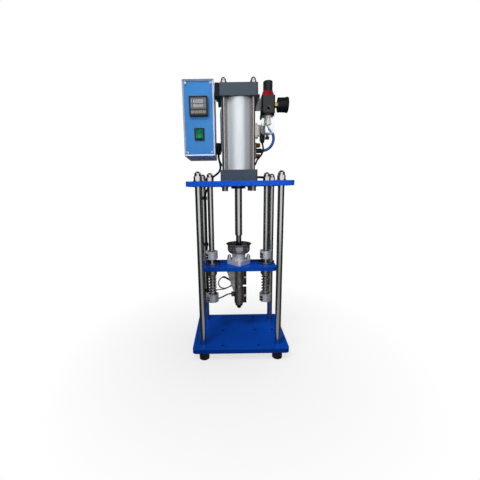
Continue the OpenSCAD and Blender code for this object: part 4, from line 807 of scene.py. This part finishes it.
def controller_details():
    """Two rows of unlit figures behind a smoked window, lamps, and the strip that holds the keys."""
    window, digits, strip = (bmesh.new() for _ in range(3))
    on_controller(window, 0, CASE_FRONT, 6.4, oblong(WINDOW_WIDE, 27.6, r=0.8), 0.4, 0.15)
    for row, tall in FIGURE_ROWS:
        for k in range(4):
            for sx, sy, flat in SEGMENTS:
                bar = oblong(3.6, BAR_WIDE) if flat else oblong(BAR_WIDE, tall / 2 - 0.8)
                on_controller(digits, (k - 1.5) * FIGURE_PITCH + sx * FIGURE_HALF, WINDOW_FRONT,
                              row + sy * (tall - BAR_WIDE) / 2, bar, 0.12, 0.05)
        for k in range(2):
            rise = row + (k - 0.5) * LAMP_PITCH
            on_controller(digits, -LAMP_X, WINDOW_FRONT, rise, oblong(1.8, 1.8, r=0.8), 0.12, 0.05)
            on_controller(digits, LAMP_X, WINDOW_FRONT, rise, oblong(1.8, 1.0), 0.12, 0.05)
    for edge in (-4.5, 4.5):
        on_controller(strip, 0, CASE_FRONT, KEY_DROP + edge, oblong(WINDOW_WIDE, 2.4), 0.6, 0.2)
    for across, wide in ((-19.85, 1.2), (-KEY_PITCH, 1.4), (0, 1.4), (KEY_PITCH, 1.4), (19.85, 1.2)):
        on_controller(strip, across, CASE_FRONT, KEY_DROP, oblong(wide, 6.6), 0.6, 0.2)
    add_piece("controller_window", window, display_grey, "frame")
    add_piece("controller_digits", digits, digit_grey, "frame")
    add_piece("key_strip", strip, strip_grey, "frame")


def key_signs():
    """A bar for the set key, and arrows that point left, down and up."""
    arrow = [(-1.4, -1.0), (1.4, -1.0), (0, 1.3)]
    signs = [oblong(1.0, 2.8), [(-p[1], p[0]) for p in arrow], [(p[0], -p[1]) for p in arrow][::-1], arrow]
    for k, sign in enumerate(signs):
        mark = bmesh.new()
        on_controller(mark, (k - 1.5) * KEY_PITCH, KEY_FRONT, KEY_DROP, sign, 0.12, 0.04)
        add_piece(f"key_sign_{k + 1}", mark, mark_black, f"key_{k + 1}")


controller_details()
key_signs()


# Rocker switch

ROCKER_Z, ROCKER_HALF = 562.5, 11
ROCKER_TOP_Y, ROCKER_MIDDLE_Y, ROCKER_FOOT_Y = 9.1, 12.8, 13.6
SIGN_LIFT = 0.01


def rocker_marks():
    """On and off signs on the two slopes of the rocker."""
    marks = bmesh.new()
    upper = Vector((0, ROCKER_TOP_Y - ROCKER_MIDDLE_Y, ROCKER_HALF)).normalized()
    lower = Vector((0, ROCKER_MIDDLE_Y - ROCKER_FOOT_Y, ROCKER_HALF)).normalized()
    upper_out = Vector((0, -upper.z, upper.y))
    lower_out = Vector((0, -lower.z, lower.y))
    base = Vector((BOX_X, ROCKER_MIDDLE_Y, ROCKER_Z))
    plate(marks, base + upper * 6.2 + upper_out * SIGN_LIFT, upper_out, oblong(0.9, 4.6, r=0.3), 0.12, 0.04,
          up=tuple(upper))
    turned(marks, base - lower * 6.0 + lower_out * SIGN_LIFT, lower_out, hoop(1.5, 2.3, 0, 0.12), 28)
    add_piece("rocker_signs", marks, mark_green, "rocker")


rocker_marks()


# Control box: front rim, panel screws and glands

BOX_WIDE, BOX_TALL = 83, 190
PANEL_WIDE, PANEL_TALL = 73.7, 180.7
SCREW_INSET = 4
PANEL_SCREW_Y = 14.75
GLAND_X, GLAND_Z = -54, 531


def panel_frame():
    """The box's front edge, folded inward so that it slopes down to the panel."""
    shape = bmesh.new()
    rings = []
    for inset, y in ((0, 15.98), (0, 12.4), (0.8, 12.0), (8.8, 15.9)):
        rings.append([shape.verts.new(Vector((BOX_X + x, y, BOX_Z + z)) * MM)
                      for x, z in oblong(BOX_WIDE - inset, BOX_TALL - inset)])
    for low, high in zip(rings, rings[1:] + rings[:1]):
        bridge(shape, low, high)
    add_piece("panel_frame", shape, box_enamel, "frame")


def screw_dome(shape, at, facing, radius, rise):
    turned(shape, at, facing, ((radius, 0), (radius * 0.96, rise * 0.45), (radius * 0.75, rise * 0.85),
                               (radius * 0.4, rise), (0, rise)), 28)


def cross_recess(shape, at, facing, arm, slot=0.75):
    for outline in (oblong(slot, arm), oblong(arm, slot)):
        plate(shape, at, facing, outline, 0.12, 0.03)


def panel_screw_details():
    """Domed heads with cross recesses at the panel's corners."""
    domes, crosses = bmesh.new(), bmesh.new()
    for sx in (-1, 1):
        for sz in (-1, 1):
            at = Vector((BOX_X + sx * (PANEL_WIDE / 2 - SCREW_INSET), PANEL_SCREW_Y,
                         BOX_Z + sz * (PANEL_TALL / 2 - SCREW_INSET)))
            screw_dome(domes, at, FRONT, 2.7, 0.7)
            cross_recess(crosses, at + Vector(FRONT) * 0.64, FRONT, 3.2)
    add_piece("panel_screw_domes", domes, dull_zinc, "frame")
    add_piece("panel_screw_slots", crosses, black_oxide, "frame")


def gland_details():
    """Ribbed clamp nuts on the cable glands and on the valve's plug."""
    nuts = bmesh.new()
    for at, facing, wide, tall, cable in (((GLAND_X, 70, GLAND_Z), DOWN, 7.5, 10.4, 3.1),
                                          ((GLAND_X, 105, GLAND_Z), DOWN, 7.5, 10.4, 2.6),
                                          (coil_cable_route[0], DOWN, 6.0, 7.0, 2.6),
                                          ((BOX_X, 145, 530.5), BACK, 8.6, 10.4, 3.5)):
        bore = cable + 0.05
        turned(nuts, at, facing, ((bore, 0), (wide, 0), (wide, tall * 0.6), (wide * 0.78, tall * 0.9),
                                  (cable + 0.9, tall), (bore, tall), (bore, 0)), 48,
               lambda k: 0 if k % 4 < 2 else -0.03)
    add_piece("gland_nuts", nuts, black_nylon, "frame")


panel_frame()
panel_screw_details()
gland_details()


# Hopper, heaters and carriage

RIM_RADIUS, RIM_Z, RIM_STEPS = 34.6, 265.6, 96
HEATER_BANDS = ((89, 47), (144, 48))
STRAP_INNER, STRAP_OUTER, STRAP_TALL = 13.45, 13.9, 4
TERMINAL_X, TERMINAL_FRONT = -18, -5.05


def carriage_details():
    """Rolled hopper rim, heater clamp straps, terminal screws and the sensor's sleeve."""
    rim, straps, screws, sleeve = (bmesh.new() for _ in range(4))
    angles = [2 * math.pi * k / RIM_STEPS for k in range(RIM_STEPS + 1)]
    swept(rim, [Vector((RIM_RADIUS * math.cos(a), RIM_RADIUS * math.sin(a), RIM_Z)) * MM for a in angles],
          0.9 * MM, sides=10)
    for foot, tall in HEATER_BANDS:
        for share in (0.14, 0.86):
            turned(straps, (0, 0, foot + tall * share - STRAP_TALL / 2), UP,
                   ((STRAP_INNER, 0), (STRAP_OUTER, 0.15), (STRAP_OUTER, STRAP_TALL - 0.15),
                    (STRAP_INNER, STRAP_TALL), (STRAP_INNER, 0)), 64)
    for z in (112.2, 117.8):
        screw_dome(screws, (TERMINAL_X, TERMINAL_FRONT, z), FRONT, 1.9, 0.9)
    swept(sleeve, smooth_route(sensor_route)[:8], 2.7 * MM)
    add_piece("hopper_rim", rim, hopper_steel, "carriage")
    add_piece("heater_straps", straps, heater_jacket, "carriage")
    add_piece("terminal_screws", screws, zinc_plate, "carriage")
    add_piece("sensor_sleeve", sleeve, cable_jacket, "carriage")


carriage_details()


# Regulator, valve and brackets

COIL_X, COIL_TOP, NUT_SEAT = 51, 594, 1.2
BRACKET_BACK = 84
THREAD_PITCH, THREADS = 1.5, 7
BOLT_X, BOLT_Z = 51.02, 649


def air_details():
    """Bowl ring and latch, port threads, coil nut, valve screws and bracket bolts."""
    ring, threads, nuts, screws, bolts = (bmesh.new() for _ in range(5))
    turned(ring, (REGULATOR_X, REGULATOR_Y, 609.6), UP, hoop(18.1, 18.7, 0, 6.2), 72,
           lambda k: 0 if k % 4 < 2 else -0.25)
    plate(ring, (64.4, REGULATOR_Y, 608), LEFT, oblong(9, 11, r=1.5), 2.4, 0.6)
    for k in range(THREADS):
        turned(threads, (REGULATOR_X, 22.3 + k * THREAD_PITCH, PORT_Z), BACK,
               ((5.65, 0), (5.1, 0.6), (5.1, 0.8), (5.65, 1.3), (5.65, 0)))
    turned(nuts, (COIL_X, VALVE_Y, COIL_TOP), UP, ((8, 0), (8, NUT_SEAT), (4, NUT_SEAT)))
    plate(nuts, (COIL_X, VALVE_Y, COIL_TOP + NUT_SEAT), UP, hexagon(13), 5, 0.6)
    for at, facing in (((22, 59, 551), FRONT), ((46, 59, 501), FRONT), ((34, BRACKET_BACK, 448), BACK),
                       ((34, BRACKET_BACK, 545), BACK), ((34, BRACKET_BACK, 520), BACK),
                       ((79.5, VALVE_Y, 572), RIGHT)):
        turned(screws, at, facing, ((2.6, 0), (2.6, 1.6), (2.3, 2), (1.4, 2), (1.3, 0.9), (0, 0.9)), 28)
    for side in (-1, 1):
        for y in (0, 24):
            plate(bolts, (side * BOLT_X, y, BOLT_Z), (side, 0, 0), hexagon(8), 5, 0.5)
    add_piece("bracket_bolts", bolts, black_oxide, "frame")
    add_piece("bowl_ring", ring, black_nylon, "frame")
    add_piece("port_threads", threads, satin_aluminium, "frame")
    add_piece("coil_nut", nuts, bright_nickel, "frame")
    add_piece("valve_screws", screws, black_oxide, "frame")


air_details()


# Light, floor and background

LIGHT_FROM_ROOM = 0.22
FLOOR_HALF = 6
FLOOR_GAP = 0.0002
CARD_STEPS = 16
CARD_REACH, CARD_TOP = 1.6, 1.9
PURE_WHITE = (1, 1, 1, 1)
# Grey that reflections see on the floor near the machine: painted shade.
MIRRORED_FLOOR_SHADE = (0.40, 0.40, 0.40, 1)
DARK_BOUNCE = (0.10, 0.10, 0.10, 1)


def light_world():
    """A white room: white to the eye and to reflections, and a lower light on the object."""
    world = bpy.data.worlds.new("studio")
    scene.world = world
    world.use_nodes = True
    nodes = Nodes(world.node_tree)
    seen = sum((nodes.node("LightPath", out=f"Is {ray} Ray") for ray in ("Glossy", "Transmission")),
               nodes.node("LightPath", out="Is Camera Ray"))
    background = world.node_tree.nodes["Background"]
    background.inputs["Color"].default_value = PURE_WHITE
    nodes.plug(background.inputs["Strength"], LIGHT_FROM_ROOM + (1 - LIGHT_FROM_ROOM) * seen)


def add_lamp(name, at, aim, size, power, spread=180):
    """A round soft lamp that shines on the object and is not seen itself."""
    lamp = bpy.data.lights.new(name, "AREA")
    lamp.shape = "DISK"
    lamp.size = size
    lamp.spread = math.radians(spread)
    lamp.energy = power
    holder = bpy.data.objects.new(name, lamp)
    turn = (Vector(at) - Vector(aim)).to_track_quat("Z", "Y").to_matrix().to_4x4()
    holder.matrix_world = Matrix.Translation(Vector(at)) @ turn
    holder.visible_camera = False
    holder.visible_glossy = False
    scene.collection.objects.link(holder)


def add_stage(name, shape, material):
    """A piece of the studio, which isn't part of the machine."""
    mesh = bpy.data.meshes.new(name)
    shape.to_mesh(mesh)
    shape.free()
    mesh.materials.append(material)
    piece = bpy.data.objects.new(name, mesh)
    scene.collection.objects.link(piece)
    return piece


def add_floor():
    """A floor that looks white but for the shadow near the machine, and throws little light back up."""
    shape = bmesh.new()
    bmesh.ops.create_grid(shape, x_segments=8, y_segments=8, size=FLOOR_HALF)
    bmesh.ops.translate(shape, verts=shape.verts, vec=(0, 0, cad_low.z - FLOOR_GAP))
    floor = Finish("pale_floor", {"Specular IOR Level": 0.0})
    floor.feed("Base Color", floor.mixed(floor.cloud(0.4), tint("FAFAFA"), tint("F6F6F6")))
    floor.feed("Roughness", 0.8 + floor.cloud(0.1) * 0.1)
    distance = floor.node("VectorMath", {"operation": "LENGTH"}, {0: floor.place}, "Value")
    fade = floor.level(distance, 0.12, 0.5, 0.72, 1.0)
    lit = Value(floor, floor.shader.outputs[0])
    white = floor.node("Emission", {}, {"Color": PURE_WHITE, "Strength": 1.0})
    # Reflections see a painted shade on the floor near the machine, which fades to white further out.
    painted_floor_shade = floor.node("Emission", {}, {"Color": MIRRORED_FLOOR_SHADE, "Strength": 1.0})
    dark = floor.node("BsdfDiffuse", {}, {"Color": DARK_BOUNCE})
    mirror_ray = floor.node("LightPath", out="Is Glossy Ray")
    bounce_ray = floor.node("LightPath", out="Is Diffuse Ray")
    seen = floor.node("MixShader", {}, {0: fade, 1: lit, 2: white})
    mirrored = floor.node("MixShader", {}, {0: floor.level(distance, 0.8, 2.4), 1: painted_floor_shade, 2: white})
    shown = floor.node("MixShader", {}, {0: mirror_ray, 1: seen, 2: mirrored})
    mixed = floor.node("MixShader", {}, {0: bounce_ray, 1: shown, 2: dark})
    floor.plug(floor.tree.nodes["Material Output"].inputs["Surface"], mixed)
    add_stage("pale_floor", shape, floor.material)


def add_card(name, start, end, profile, colour):
    """A dark studio card, swept round the machine between two bearings. Only reflections see it."""
    shape = bmesh.new()
    rows = []
    for k in range(CARD_STEPS + 1):
        turn = math.radians(start + (end - start) * k / CARD_STEPS)
        out = Vector((math.sin(turn), -math.cos(turn), 0))
        rows.append([shape.verts.new(out * reach + Vector((0, 0, z))) for reach, z in profile])
    for a, b in zip(rows, rows[1:]):
        for k in range(len(profile) - 1):
            shape.faces.new((a[k], b[k], b[k + 1], a[k + 1]))
    card = Finish(name, {"Specular IOR Level": 0.0, "Roughness": 0.9})
    card.feed("Base Color", card.mixed(card.cloud(0.3), tint(colour), tint(colour)))
    piece = add_stage(name, shape, card.material)
    for ray in ("camera", "diffuse", "transmission", "volume_scatter", "shadow"):
        setattr(piece, "visible_" + ray, False)


light_world()
add_lamp("overhead_lamp", (0.15, 0.0, 1.5), (0, 0, 0.4), 0.8, 6)
add_lamp("front_lamp", (-0.42, -0.55, 1.25), (0, 0, 0.58), 0.5, 1.5, spread=60)
add_lamp("fill_lamp", (0.15, -0.9, 0.75), (0.03, 0, 0.58), 0.5, 0.45, spread=50)
add_floor()
wall = ((0.17, cad_low.z), (CARD_REACH, cad_low.z), (CARD_REACH, CARD_TOP))
ceiling = ((0.02, CARD_TOP), (1.2, CARD_TOP))
add_card("left_card", -118, -30, wall, "434947")
add_card("right_card", 38, 125, wall, "58534C")
add_card("back_card", 125, 242, wall, "2A2C2D")
add_card("ceiling_card", 0, 360, ceiling, "2A2C2D")
